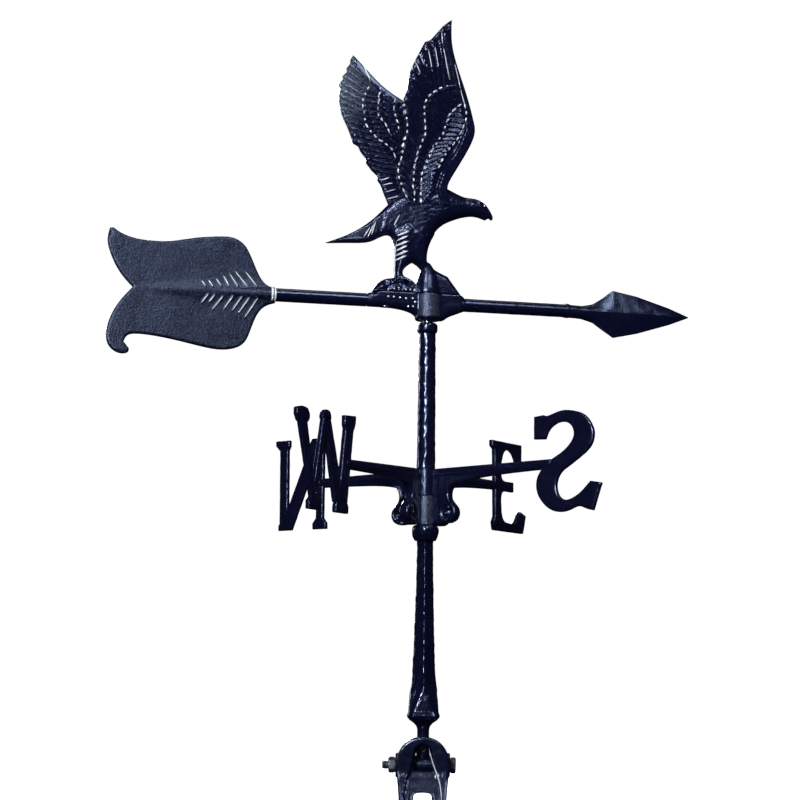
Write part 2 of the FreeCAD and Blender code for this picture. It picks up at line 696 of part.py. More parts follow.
def bird_profile():
    """Thin core with the side outline of the tail, body, head and legs."""
    return slab(loop(
        [(-104, 52.5), (-72, 67), (-50, 84.5), (-38, 97), (-20, 108), (17, 114)],
        [(17, 114), (26, 110), (36, 106.5), (47, 105.5), (56, 101), (62.5, 93), (64.5, 87.5),
         (63, 84.8)],
        [(63, 84.8), (60, 86.5)], [(60, 86.5), (56, 84.8)],
        [(56, 84.8), (46, 87.8), (30, 85), (12, 76), (2, 62), (-1.5, 44)],
        [(-1.5, 44), (-1, 30)], [(-1, 30), (-34.5, 18)],
        [(-34.5, 18), (-33.5, 36), (-33, 48), (-34.5, 60), (-42, 64), (-56, 57.5), (-75, 54.5),
         (-104, 52.5)],
    ), 9.0)


def rock():
    """Rocky mound under the claws, seated on the hub."""
    seat = ORNAMENT_SEAT - ARROW_Z
    mound = slab(loop(
        [(-56, seat), (-52, 14), (-45, 20), (-30, 22), (-16, 20), (-5, 26), (-1, 38)],
        [(-1, 38), (8, 32), (19, 27)], [(19, 27), (33, seat)],
        [(33, seat), (-56, seat)],
    ), 26.0)
    return mound


def eagle():
    body = ellipsoid((-6, 0, 84), (52, 18, 25), 18)
    head = ellipsoid((44, 0, 97), (15, 9.5, 9), -10)
    thigh = ellipsoid((-17, 0, 54), (15, 15, 20), 0)
    gap = loop([(-24.5, 28.5), (-16, 38.5), (-6.5, 28), (-13.5, 18.5), (-24.5, 28.5)])
    parts = [bird_profile(), near_wing(), far_wing(), body, head, thigh, rock()]
    bird = fused(*parts)
    bird = bird.cut(slab(gap, 60))
    for x in ORNAMENT_SCREWS_X:
        bird = bird.cut(rod_z(ORNAMENT_SCREW_R, 0, ORNAMENT_SEAT - ARROW_Z + ORNAMENT_SCREW_DEPTH, x))
    return bird


# ==== write the parts ===========================================================================

save("spindle_rod", spindle_rod())
save("thrust_ball", thrust_ball())
save("upper_spacer", upper_spacer())
save("collar_ball", collar_ball())
save("collar_set_screw", collar_set_screw())
save("lower_column", lower_column())
save("mount_socket", mount_socket())
save("socket_set_screw", socket_set_screw())
save("pivot_bolt", pivot_bolt())
save("pivot_nut", pivot_nut())
save("front_leg", leg())
save("back_leg", placed(leg(), 180))
save("north_south_letters", north_south_casting())
save("east_west_letters", east_west_casting())
save("compass_set_screws", compass_set_screws())
save("arrow_hub", placed(arrow_hub(), ARROW_HEADING, ARROW_Z))
save("ornament_screws", placed(ornament_screws(), ARROW_HEADING, ARROW_Z))
save("hub_bush", placed(hub_bush(), ARROW_HEADING, ARROW_Z))
save("rear_rod", placed(tube_x(TAIL_FACE, HUB_REAR), ARROW_HEADING, ARROW_Z))
save("front_rod", placed(tube_x(HUB_FRONT, HEAD_FACE), ARROW_HEADING, ARROW_Z))
save("arrow_tail", placed(arrow_tail(), ARROW_HEADING, ARROW_Z))
save("arrow_head", placed(arrow_head(), ARROW_HEADING, ARROW_Z))
save("eagle", placed(eagle(), ARROW_HEADING, ARROW_Z))
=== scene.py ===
import math
import random

import bpy
import numpy as np
from mathutils import Matrix, Vector, noise
from mathutils.geometry import delaunay_2d_cdt


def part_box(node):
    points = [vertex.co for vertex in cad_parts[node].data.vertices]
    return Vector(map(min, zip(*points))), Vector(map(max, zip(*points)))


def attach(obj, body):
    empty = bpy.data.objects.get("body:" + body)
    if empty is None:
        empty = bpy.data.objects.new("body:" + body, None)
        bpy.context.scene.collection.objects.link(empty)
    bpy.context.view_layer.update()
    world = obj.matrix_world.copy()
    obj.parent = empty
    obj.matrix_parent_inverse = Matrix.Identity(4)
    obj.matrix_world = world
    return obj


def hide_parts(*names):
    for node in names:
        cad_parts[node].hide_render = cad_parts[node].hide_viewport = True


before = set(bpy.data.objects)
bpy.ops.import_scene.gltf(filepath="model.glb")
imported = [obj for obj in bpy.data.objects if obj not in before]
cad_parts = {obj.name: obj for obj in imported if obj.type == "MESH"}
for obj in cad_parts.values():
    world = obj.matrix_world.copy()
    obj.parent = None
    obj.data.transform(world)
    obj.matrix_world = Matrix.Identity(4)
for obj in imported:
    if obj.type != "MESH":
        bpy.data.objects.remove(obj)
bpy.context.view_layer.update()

# Looks of the weather vane: a cast eagle on an arrow, over four compass letters, a hammered
# post and a folding roof mount. Shapes are drawn in millimetres, in the CAD's own layout, and
# become metres when their mesh is made.
MM = 0.001
random.seed(7)


# ==== places, read from the CAD ================================================================

def low(node, axis):
    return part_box(node)[0][axis] / MM


def high(node, axis):
    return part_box(node)[1][axis] / MM


def middle(node, axis):
    return (low(node, axis) + high(node, axis)) / 2


X, Z = 0, 2
ARROW_HEADING = 13.7
EAST_HEADING = 55.7
SOUTH_HEADING = EAST_HEADING - 90

SPINDLE_R = high("spindle_rod", X)
BOLT_Z = middle("pivot_nut", Z)
SOCKET_TOP = high("mount_socket", Z)
COLUMN_TOP = high("lower_column", Z)
COLLAR_TOP = high("collar_ball", Z)
SPACER_BOTTOM = low("upper_spacer", Z)
SPACER_TOP = high("upper_spacer", Z)
LETTER_MID = middle("east_west_letters", Z)
ARROW_Z = middle("rear_rod", Z)
HUB_BOTTOM = low("hub_bush", Z) - ARROW_Z
HUB_SEAT = high("arrow_hub", Z) - ARROW_Z
BARREL_BOTTOM = COLLAR_TOP + 0.2
BARREL_TOP = SPACER_BOTTOM - 0.2
BARREL_SEAM = 328.0

ROD_R = 6.4
SPIGOT_R = 4.0
HUB_REAR, HUB_FRONT = -60.0, 36.0
TAIL_FACE, HEAD_FACE = -149.0, 137.0
LETTER_HALF = 45.0
SOUTH_RISE, NORTH_RISE, EAST_RISE, WEST_RISE = 4.0, -1.0, 2.3, -1.3
BARREL_R = 9.2


# ==== curves and plane measurements ============================================================

def straight(start, end, step):
    """Points about step apart on a straight line, without its last one."""
    start, end = np.array(start, float), np.array(end, float)
    count = max(1, round(float(np.linalg.norm(end - start)) / step))
    return start + (end - start) * (np.arange(count) / count)[:, None]


def smooth(points, step):
    """Points about step apart on the natural cubic spline through points, without its last one."""
    p = np.array(points, float)
    chord = np.sqrt(np.linalg.norm(np.diff(p, axis=0), axis=1))
    at = np.concatenate([[0], np.cumsum(chord)])
    gap = np.diff(at)
    n = len(p)
    system, right = np.eye(n), np.zeros((n, p.shape[1]))
    for i in range(1, n - 1):
        system[i, i - 1:i + 2] = gap[i - 1], 2 * (gap[i - 1] + gap[i]), gap[i]
        right[i] = 6 * ((p[i + 1] - p[i]) / gap[i] - (p[i] - p[i - 1]) / gap[i - 1])
    bend = np.linalg.solve(system, right)

    def place(t):
        i = np.clip(np.searchsorted(at, t, side="right") - 1, 0, n - 2)
        g = gap[i][:, None]
        a = ((at[i + 1] - t) / gap[i])[:, None]
        b = 1 - a
        return (a * p[i] + b * p[i + 1]
                + ((a ** 3 - a) * bend[i] + (b ** 3 - b) * bend[i + 1]) * g ** 2 / 6)

    fine = np.linspace(0, at[-1], 40 * n)
    run = np.linalg.norm(np.diff(place(fine), axis=0), axis=1)
    length = np.concatenate([[0], np.cumsum(run)])
    count = max(2, round(length[-1] / step))
    return place(np.interp(np.arange(count) / count * length[-1], length, fine))


def turns(count):
    """Angles of a full turn, in count equal steps."""
    return np.arange(count) * 2 * math.pi / count


def loop(start, *path, step=1.0):
    """Closed outline from a start. A bare point ends a straight line, and a list is the rest of
    a smooth curve. A straight line closes the outline if the path doesn't end at the start."""
    runs, at = [], start
    for part in path:
        if isinstance(part, list):
            runs.append(smooth([at] + part, step))
            at = part[-1]
        else:
            runs.append(straight(at, part, step))
            at = part
    if at != start:
        runs.append(straight(at, start, step))
    return np.vstack(runs)


def circle(centre, radius, step=1.0):
    turn = turns(max(12, round(2 * math.pi * radius / step)))
    return np.array(centre) + radius * np.column_stack([np.cos(turn), np.sin(turn)])


def opposite(right_side):
    """The other side of a symmetric outline, so that it runs on from the right-hand side."""
    return [(-x, z) for x, z in reversed(right_side)]


def mirrored(right_side, step=1.0):
    """Closed outline from its smooth right-hand side, listed from the top centre downwards."""
    left_side = opposite(right_side)
    return loop(right_side[0], right_side[1:], left_side[0], left_side[1:], step=step)


def inset(points, loops):
    """How far each point lies inside the outlines, and less than zero outside them."""
    start = np.vstack(loops)
    end = np.vstack([np.roll(one, -1, axis=0) for one in loops])
    run = end - start
    square = np.maximum((run ** 2).sum(1), 1e-12)
    found = []
    for part in np.array_split(points, len(points) * len(start) // 1_500_000 + 1):
        offset = part[:, None, :] - start[None]
        share = np.clip((offset * run).sum(2) / square, 0, 1)
        gap = np.sqrt(((offset - share[..., None] * run) ** 2).sum(2).min(1))
        crossing = (start[:, 1] > part[:, None, 1]) != (end[:, 1] > part[:, None, 1])
        rise = np.where(run[:, 1] == 0, 1e-12, run[:, 1])
        at = start[:, 0] + offset[..., 1] * run[:, 0] / rise
        within = (crossing & (at > part[:, None, 0])).sum(1) % 2 == 1
        found.append(np.where(within, gap, -gap))
    return np.concatenate(found)


def fade(value, start, end):
    """0 before start, 1 after end, and a smooth step between them."""
    t = np.clip((value - start) / (end - start), 0, 1)
    return t * t * (3 - 2 * t)


def edge_round(depth, half, radius):
    """Half thickness of a plate whose edges have a radius, by the distance from its outline."""
    rise = np.clip(radius - depth, 0, radius)
    return half - radius + np.sqrt(np.maximum(radius ** 2 - rise ** 2, 0.02))


def rough(points, size, depth, seed=0.0):
    """Soft cast unevenness, by position."""
    return np.array([noise.noise(Vector((p[0] / size, p[1] / size, seed))) for p in points]) * depth


# ==== shells: (points, faces) in millimetres ==================================================

def plate(loops, step, front, back=None, extra=None, rings=(0.35, 0.9)):
    """Plate in the XZ plane inside the first outline and outside the others. front and back give
    its half thickness from the points and how deep they lie inside the outline."""
    corners = np.vstack(loops)
    box_low, box_high = corners.min(0), corners.max(0)
    rows = np.arange(box_low[1], box_high[1], step * 0.87)
    columns = np.arange(box_low[0], box_high[0], step)
    grid = np.array([(x + (i % 2) * step / 2, z) for i, z in enumerate(rows) for x in columns])
    edge_gap = rings[-1] + 0.5 * step if rings else 0.5 * step
    inner = [grid[inset(grid, loops) > edge_gap]]
    for ring in rings:
        for one in loops:
            along = np.roll(one, -1, axis=0) - np.roll(one, 1, axis=0)
            side = np.column_stack([-along[:, 1], along[:, 0]])
            side /= np.maximum(np.linalg.norm(side, axis=1), 1e-9)[:, None]
            for way in (1, -1):
                near = one + way * ring * side
                inner.append(near[inset(near, loops) > 0.93 * ring])
    if extra is not None:
        inner.append(extra[inset(extra, loops) > edge_gap])
    points = np.vstack([corners] + inner)
    edges, first = [], 0
    for one in loops:
        edges += [(first + i, first + (i + 1) % len(one)) for i in range(len(one))]
        first += len(one)
    found = delaunay_2d_cdt([Vector(p) for p in points], edges, [], 1, 1e-5)
    flat = np.array([(v.x, v.y) for v in found[0]])
    faces = np.array([f for f in found[2] if len(f) == 3])
    faces = faces[inset(flat[faces].mean(1), loops) > 0]
    a, b, c = flat[faces[:, 0]], flat[faces[:, 1]], flat[faces[:, 2]]
    turn = (b[:, 0] - a[:, 0]) * (c[:, 1] - a[:, 1]) - (b[:, 1] - a[:, 1]) * (c[:, 0] - a[:, 0])
    faces[turn < 0] = faces[turn < 0][:, ::-1]
    depth = np.maximum(inset(flat, loops), 0)
    count = len(flat)
    shape = np.vstack([
        np.column_stack([flat[:, 0], -front(flat, depth), flat[:, 1]]),
        np.column_stack([flat[:, 0], (back or front)(flat, depth), flat[:, 1]]),
    ])
    sides = {}
    for i, j, k in faces.tolist():
        for edge in ((i, j), (j, k), (k, i)):
            if edge[::-1] in sides:
                del sides[edge[::-1]]
            else:
                sides[edge] = True
    walls = [(j, i, i + count, j + count) for i, j in sides]
    return shape, faces.tolist() + (faces[:, ::-1] + count).tolist() + walls


def loft(rings, closed=False, caps=True):
    """Skin over rings of equal point count. closed joins the last ring to the first."""
    size, count = len(rings[0]), len(rings)
    faces = []
    for i in range(count if closed else count - 1):
        a, b = i * size, (i + 1) % count * size
        faces += [(a + j, a + (j + 1) % size, b + (j + 1) % size, b + j) for j in range(size)]
    points = np.vstack(rings)
    if caps and not closed:
        ends = np.array([rings[0].mean(0), rings[-1].mean(0)])
        n = len(points)
        points = np.vstack([points, ends])
        top = (count - 1) * size
        faces += [(n, (j + 1) % size, j) for j in range(size)]
        faces += [(n + 1, top + j, top + (j + 1) % size) for j in range(size)]
    return points, faces


def ring_round(reach, height, turn):
    """Ring about Z, at a height and with a radius, or one radius for each angle."""
    return np.column_stack([reach * np.cos(turn), reach * np.sin(turn), np.full(len(turn), height)])


def lathe(profile, steps=64, closed=True):
    """Turned shape about Z, through (radius, height) points. closed makes a bored ring."""
    rings = [ring_round(radius, height, turns(steps)) for radius, height in profile]
    return loft(rings, closed=closed, caps=not closed)


def ball(centre, sizes, steps=20):
    """Ellipsoid with the given half sizes."""
    heights = [-math.cos(math.pi * (i + 0.5) / steps) for i in range(steps)]
    points, faces = lathe([(math.sqrt(1 - h * h), h) for h in heights], steps * 2, closed=False)
    return points * np.array(sizes) + np.array(centre), faces


def sliver(path, radius):
    """Slender spindle along a path, for a lit ridge or a barb."""
    turn = turns(6)
    side = np.cross(path[-1] - path[0], (0, 1, 0))
    side /= np.linalg.norm(side)
    rings = []
    for i, centre in enumerate(path):
        swell = radius * math.sqrt(1.02 - (2 * i / (len(path) - 1) - 1) ** 2)
        rings.append(centre + swell * (np.cos(turn)[:, None] * side
                                       + np.sin(turn)[:, None] * np.array([0, 1, 0])))
    return loft(rings)


def on_face(points, loops, height, side):
    """Places on a plate's face, from places in its outline. side is -1 for its -Y face."""
    flat = np.array(points, float)
    rise = height(flat, np.maximum(inset(flat, loops), 0))
    return np.column_stack([flat[:, 0], side * rise, flat[:, 1]])


def ridge_lines(lines, radius, loops, height, count=7):
    """Slivers draped along straight lines on both faces of a plate, through count places each."""
    share = np.linspace(0, 1, count)[None, :, None]
    ends = np.array(lines, float)
    flat = (ends[:, :1] * (1 - share) + ends[:, 1:] * share).reshape(-1, 2)
    shells = []
    for side in (-1, 1):
        places = on_face(flat, loops, height, side)
        places[:, 1] += side * radius * 0.4
        shells += [sliver(path, radius) for path in places.reshape(-1, count, 3)]
    return shells


def dashes(line, gap):
    """Short lines, end to end along a smooth line, of uneven length."""
    places = smooth(line, gap)
    ways = np.gradient(places, axis=0)
    found = []
    for place, way in zip(places, ways):
        way = way / np.linalg.norm(way)
        reach = way * gap * random.uniform(0.2, 0.42)
        aside = np.array([-way[1], way[0]]) * random.uniform(-0.5, 0.5)
        found.append((place - reach + aside, place + reach + aside))
    return found


def moved(shell, matrix):
    points, faces = shell
    turn = np.array(matrix)
    return points @ turn[:3, :3].T + turn[:3, 3], faces


def joined(shells):
    points, faces, first = [], [], 0
    for shape, skin in shells:
        points.append(shape)
        faces += [tuple(i + first for i in face) for face in skin]
        first += len(shape)
    return np.vstack(points), faces


def placed(heading, height):
    """Turns a shape drawn along +X to its heading, and lifts it."""
    return Matrix.Translation((0, 0, height)) @ Matrix.Rotation(math.radians(heading), 4, "Z")


# Turns a shape drawn about Z so that it lies along X.
ALONG_X = Matrix(((0, 0, 1, 0), (1, 0, 0, 0), (0, 1, 0, 0), (0, 0, 0, 1)))


def lathe_x(profile, steps, closed=True):
    """Turned shape about X, through (radius, x) points."""
    return moved(lathe(profile, steps, closed), ALONG_X)


def band_profile(inner, outer, start, end, ease):
    """Thin sleeve with chamfered ends, for a lathe."""
    return [(inner, start), (outer, start + ease), (outer, end - ease), (inner, end)]


def dented(points, centres, size, depth):
    """Presses shallow round dents into a shape, towards the Z axis."""
    push = np.zeros(len(points))
    for centre in centres:
        gap = ((points - centre) ** 2).sum(1) / size ** 2
        push = np.maximum(push, depth * np.clip(1 - gap, 0, None))
    radius = np.maximum(np.linalg.norm(points[:, :2], axis=1), 1e-6)
    scale = np.where(radius > SPINDLE_R + 0.5, 1 - push / radius, 1)
    return points * np.column_stack([scale, scale, np.ones(len(points))])


def scattered(count, radius_at, z_low, z_high):
    """Evenly mixed places on a round surface, along a golden-angle spiral with some jitter."""
    places = []
    for i in range(count):
        z = z_low + (z_high - z_low) * (i + random.random()) / count
        turn = i * 2.39996 + random.uniform(-0.3, 0.3)
        radius = radius_at(z)
        places.append((radius * math.cos(turn), radius * math.sin(turn), z))
    return np.array(places)


# ==== pieces ===================================================================================

def thing_from(name, shell):
    """Object made from a shell."""
    points, faces = shell
    mesh = bpy.data.meshes.new(name)
    mesh.from_pydata((points * MM).tolist(), [], faces)
    thing = bpy.data.objects.new(name, mesh)
    bpy.context.scene.collection.objects.link(thing)
    return thing


def piece(name, body, shell, finish, node, trims=()):
    """New piece, riding on a CAD body and standing for a CAD node. trims are (shell, finish)
    pairs for details that show a finish of their own."""
    thing = thing_from(name, joined([shell] + [extra for extra, look in trims]))
    mesh = thing.data
    looks = [0] * len(shell[1])
    mesh.materials.append(finish)
    for i, (extra, look) in enumerate(trims):
        mesh.materials.append(look)
        looks += [i + 1] * len(extra[1])
    mesh.polygons.foreach_set("material_index", looks)
    mesh.validate()
    mesh.polygons.foreach_set("use_smooth", [True] * len(mesh.polygons))
    mesh.set_sharp_from_angle(angle=math.radians(32))
    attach(thing, body)
    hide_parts(node)


def remeshed(shell, voxel, smoothing):
    """Shells melted into one skin, as in a casting."""
    thing = thing_from("melt", shell)
    melt = thing.modifiers.new("melt", "REMESH")
    melt.mode = "VOXEL"
    melt.voxel_size = voxel * MM
    relax = thing.modifiers.new("relax", "SMOOTH")
    relax.factor = 0.5
    relax.iterations = smoothing
    graph = bpy.context.evaluated_depsgraph_get()
    result = bpy.data.meshes.new_from_object(thing.evaluated_get(graph), depsgraph=graph)
    co = np.empty(len(result.vertices) * 3)
    result.vertices.foreach_get("co", co)
    skin = [tuple(p.vertices) for p in result.polygons]
    for mesh in (thing.data, result):
        bpy.data.meshes.remove(mesh)
    return co.reshape(-1, 3) / MM, skin


# ==== finishes =================================================================================

def nodes_of(name):
    finish = bpy.data.materials.new(name)
    finish.use_nodes = True
    tree = finish.node_tree
    return finish, tree, tree.nodes["Principled BSDF"]


def fill(tree, node, values):
    """Sets a node's inputs to numbers, or links them to other nodes' outputs."""
    for name, value in values.items():
        if isinstance(value, bpy.types.NodeSocket):
            tree.links.new(value, node.inputs[name])
        else:
            node.inputs[name].default_value = value


def added(tree, kind, values):
    node = tree.nodes.new("ShaderNode" + kind)
    fill(tree, node, values)
    return node


def noise_of(tree, scale, detail, roughness=0.55, stretch=(1, 1, 1)):
    where = added(tree, "TexCoord", {}).outputs["Object"]
    along = added(tree, "Mapping", {"Vector": where, "Scale": stretch}).outputs["Vector"]
    return added(tree, "TexNoise", {"Vector": along, "Scale": scale, "Detail": detail,
                                    "Roughness": roughness}).outputs["Fac"]


def ramp_of(tree, source, low_at, low_colour, high_at, high_colour):
    node = added(tree, "ValToRGB", {"Fac": source})
    stops = ((low_at, low_colour), (high_at, high_colour))
    for element, (at, colour) in zip(node.color_ramp.elements, stops):
        element.position = at
        element.color = (*colour, 1)
    return node.outputs["Color"]


def bump_of(tree, source, strength, distance, under=None):
    values = {"Height": source, "Strength": strength, "Distance": distance}
    if under is not None:
        values["Normal"] = under
    return added(tree, "Bump", values).outputs["Normal"]


def grey(value):
    return (value, value, value)


COAT_SHEEN = (0.55, 0.66, 1.0, 1)
COAT_DEEP, COAT_WORN = (0.002, 0.0022, 0.012), (0.005, 0.0056, 0.026)


def casting_finish(name, deep, worn, rough_low, rough_high, grain_size, grain, waves=0.3,
                   speckle_from=0.38, speckle_to=0.66, gloss=0.75, patch=None):
    """Satin powder coat over sand-cast metal: speckled, grainy, and dulled in patches."""
    finish, tree, shader = nodes_of(name)
    speckle = noise_of(tree, grain_size * 0.8, 4, 0.7)
    colour = ramp_of(tree, speckle, speckle_from, deep, speckle_to, worn)
    # A patch paints a lighter sheen round one place.
    if patch is not None:
        colour = painted_sheen_mix(tree, colour, speckle, *patch)
    soft = bump_of(tree, noise_of(tree, 190, 2), waves, 0.001)
    fill(tree, shader, {
        "Base Color": colour,
        "Roughness": ramp_of(tree, noise_of(tree, 60, 5), 0.3, grey(rough_low), 0.7,
                             grey(rough_high)),
        "Normal": bump_of(tree, noise_of(tree, grain_size, 3, 0.65), grain, 0.0006, soft),
        "Specular IOR Level": gloss,
        "Specular Tint": COAT_SHEEN,
    })
    return finish


def painted_sheen_mix(tree, colour, speckle, place, near, far, deep, worn):
    """Painted sheen: lighter coat round one place, fully within near metres of it, and not beyond
    far.
    """
    where = added(tree, "TexCoord", {}).outputs["Object"]
    gap = added(tree, "VectorMath", {0: where, 1: place})
    gap.operation = "DISTANCE"
    mix = added(tree, "Mix", {})
    mix.data_type = "RGBA"
    fill(tree, mix, {
        "Factor": ramp_of(tree, gap.outputs["Value"], near, grey(1), far, grey(0)),
        "A": colour,
        "B": ramp_of(tree, speckle, 0.38, deep, 0.66, worn),
    })
    return mix.outputs["Result"]


def plated_finish(name, colour, worn, rough_low, rough_high, streaks, metallic):
    """Plated or drawn steel, with wear and fine streaks along its length."""
    finish, tree, shader = nodes_of(name)
    stains = noise_of(tree, 70, 5)
    fill(tree, shader, {
        "Base Color": ramp_of(tree, stains, 0.35, colour, 0.72, worn),
        "Roughness": ramp_of(tree, stains, 0.3, grey(rough_low), 0.75, grey(rough_high)),
        "Normal": bump_of(tree, noise_of(tree, 900, 3, 0.5, streaks), 0.25, 0.0002),
        "Metallic": metallic,
    })
    return finish


def nylon_finish():
    finish, tree, shader = nodes_of("natural_nylon")
    haze = noise_of(tree, 220, 4)
    fill(tree, shader, {
        "Base Color": ramp_of(tree, haze, 0.3, (0.72, 0.7, 0.64), 0.7, (0.85, 0.84, 0.8)),
        "Normal": bump_of(tree, haze, 0.2, 0.0002),
        "Roughness": 0.5,
    })
    return finish


CAST = casting_finish("powder_coat_sand_grain", COAT_DEEP, COAT_WORN, 0.16, 0.26, 700, 0.3, 0.15)
CAST_SMOOTH = casting_finish("powder_coat_smooth", COAT_DEEP, (0.0045, 0.005, 0.023), 0.13, 0.22,
                             900, 0.15)
# Tail coat: rougher and grainier, with a lighter base colour that is a painted sheen for the light
# the flat tail plate catches.
CAST_TAIL = casting_finish("powder_coat_painted_sheen_tail", (0.001, 0.0014, 0.01), (0.016, 0.021, 0.042),
                           0.31, 0.39, 500, 0.7, 0.05, 0.48, 0.6, 0.62)
# Rougher coat with a lighter base colour that is a painted broad highlight, on the boss's face and
# the lower barrel.
CAST_PAINTED_BROAD_HIGHLIGHT = casting_finish("powder_coat_painted_broad_highlight", (0.006, 0.007, 0.02),
                             (0.05, 0.055, 0.08), 0.27, 0.33, 620, 0.8, 0.1)
# Near-white finish on raised slivers, beads and bands: painted highlights, standing in for the
# lamps' glints on high spots and edges.
PAINTED_HIGHLIGHT = plated_finish("painted_highlight_near_white", (0.75, 0.78, 0.85), (0.9, 0.92, 0.95), 0.3, 0.42,
                       (1, 1, 1), 0.1)
ZINC = plated_finish("black_zinc_plate", (0.09, 0.1, 0.12), (0.22, 0.24, 0.28), 0.2, 0.36,
                     (0.2, 1, 1), 0.8)
STEEL = plated_finish("drawn_steel", (0.3, 0.31, 0.34), (0.46, 0.47, 0.5), 0.2, 0.42, (1, 1, 0.06),
                      1.0)
NYLON = nylon_finish()


# ==== arrow ====================================================================================

def barb_list():
    """Barbs of the arrow's tail, as (start, end) on its face, above and below the midrib."""
    upper = [((-167, 6), (-178, 20)), ((-176, 5.5), (-188, 20)), ((-185, 5), (-193, 17)),
             ((-193.5, 5), (-199, 15)), ((-201, 5), (-206, 12)), ((-209, 4), (-213, 10)),
             ((-216, 4), (-219, 9))]
    lower = [((-166, -5), (-178, -24)), ((-174, -5), (-184, -20)), ((-181, -4), (-190, -18)),
             ((-189.5, -4), (-198, -17)), ((-199, -5), (-209, -18)), ((-207, -4), (-212, -11)),
             ((-213, -3.5), (-219, -12))]
    return upper + lower


def segment_gap(points, start, end):
    """Distance of each point from a line, and its share along the line."""
    start, run = np.array(start, float), np.array(end, float) - np.array(start, float)
    share = np.clip((points - start) @ run / (run @ run), 0, 1)
    return np.linalg.norm(points - start - share[:, None] * run, axis=1), share


def line_gap(points, line):
    """Distance of each point from a bent line."""
    return np.min([segment_gap(points, a, b)[0] for a, b in zip(line, line[1:])], axis=0)


TAIL_HALF = 3.0


def tail_height(points, depth):
    height = edge_round(depth, TAIL_HALF, 2.0)
    height = height + rough(points, 26, 0.3) + rough(points, 9, 0.1, 4.0) * fade(depth, 0, 3)
    rib = np.interp(points[:, 0], (-290, -242, -164, -149), (0.0, 2.4, 7.0, 7.2))
    dome = np.sqrt(np.maximum(rib ** 2 - points[:, 1] ** 2, 0))
    skirt = 1.6 * np.exp(-(points[:, 1] / (rib + 2.5)) ** 2) * fade(points[:, 0], -285, -230)
    height = np.maximum(height + skirt, dome)
    for start, end in barb_list():
        gap, share = segment_gap(points, start, end)
        height = height + 0.75 * (1 - 0.6 * share) * np.exp(-(gap / 0.75) ** 2)
    for x, z in ((-213, 53), (-231, 51), (-248, 47), (-307, 50)):
        gap = np.hypot(points[:, 0] - x, points[:, 1] - z)
        height = height - 1.3 * np.exp(-(gap / 2.2) ** 2)
    return np.maximum(height, 0.5)


def tail_outline():
    return loop(
        (-149, 6.8),
        [(-156, 8), (-163, 15), (-169, 27), (-174, 38), (-180, 47), (-190, 52.5), (-203, 53),
         (-225, 50.5), (-248, 46), (-264, 45), (-282, 46.5), (-296, 51), (-303, 55.5)],
        (-306.5, 55),
        [(-308.2, 44), (-305, 31), (-296, 14), (-283.5, 0)],
        [(-296, -15), (-304.5, -32), (-307, -46), (-304, -56.5), (-294, -63), (-286, -61.5),
         (-285.5, -58)],
        (-290.5, -52),
        [(-287, -46), (-278, -44), (-255, -46), (-225, -51.5), (-203, -55), (-188, -53.5),
         (-178, -48), (-172, -36), (-165, -19), (-157, -11), (-149, -8)],
    )


def tail_trim():
    """Painted highlights: near-white slivers along the barbs' crests, and two near-white bands on
    the ferrule.
    """
    crests = ridge_lines(barb_list(), 0.55, [tail_outline()], tail_height)
    bands = [lathe_x(band_profile(6.9, 7.5, start, end, 0.3), 48)
             for start, end in ((-153.4, -151.2), (-150.6, -148.6))]
    return joined(crests + bands)


def tail_shell():
    lines = []
    for start, end in barb_list():
        along = straight(start, end, 0.8)
        run = np.array(end) - np.array(start)
        side = np.array([-run[1], run[0]]) / np.linalg.norm(run)
        lines += [along + side * shift for shift in (-1.2, -0.6, 0, 0.6, 1.2)]
    blade = plate([tail_outline()], 1.25, tail_height, extra=np.vstack(lines),
                  rings=(0.3, 0.9, 1.8))
    ferrule = [(SPIGOT_R, TAIL_FACE), (6.6, TAIL_FACE), (7.3, TAIL_FACE - 0.8), (7.3, -153.5),
               (6.7, -154.5), (7.0, -156), (7.0, -162), (5.6, -164), (SPIGOT_R, -164)]
    return joined([blade, lathe_x(ferrule, 48)])


def head_shell():
    """Spear head: a diamond section, deepest along its axis, that grows out of a socket."""
    stations = np.array([
        (137.0, 6.5, 6.7, 6.4), (148, 6.0, 6.8, 6.2), (155, 5.7, 7.4, 6.0), (166, 8.0, 10.7, 5.9),
        (176, 14.2, 17.5, 5.7), (187, 22.8, 24.5, 5.3), (212, 18.2, 19.0, 4.6),
        (245, 8.4, 8.6, 3.2), (265.2, 0.6, 0.6, 0.5),
    ])
    rings = []
    turn = turns(72)
    across, up = np.cos(turn), np.sin(turn)
    for x in np.concatenate([np.arange(137, 265, 1.1), [265.2]]):
        top, bottom, half = (float(np.interp(x, stations[:, 0], stations[:, i])) for i in (1, 2, 3))
        tall = np.where(up > 0, top, bottom)
        crisp = 2.0 - 0.86 * fade(x, 150, 178)
        reach = ((np.abs(across) / half) ** crisp + (np.abs(up) / tall) ** crisp) ** (-1 / crisp)
        rings.append(ring_round(reach, x, turn))
    points, faces = moved(loft(rings), ALONG_X)
    wave = np.array([noise.noise(Vector(p) / 9) for p in points]) * 0.35
    points[:, 1] += np.sign(points[:, 1]) * wave * fade(np.abs(points[:, 1]), 0.3, 1.5)
    ring = [(SPIGOT_R, HEAD_FACE), (6.8, HEAD_FACE), (7.1, 138), (7.1, 141), (6.4, 142.5),
            (SPIGOT_R, 142.5)]
    return joined([(points, faces), lathe_x(ring, 48)])


def rod_shell(x_from, x_to, seed):
    """Rod of the arrow, slightly uneven as cast, with eased ends."""
    lengths = np.arange(x_from, x_to, 2.0)
    profile = [(ROD_R - 0.6, x_from), (ROD_R, x_from + 0.5)]
    for x in lengths[1:-1]:
        profile.append((ROD_R + 0.16 * noise.noise(Vector((x / 9, seed, 0))), x))
    profile += [(ROD_R, x_to - 0.5), (ROD_R - 0.6, x_to), (SPIGOT_R, x_to), (SPIGOT_R, x_from)]
    return lathe_x(profile, 40)


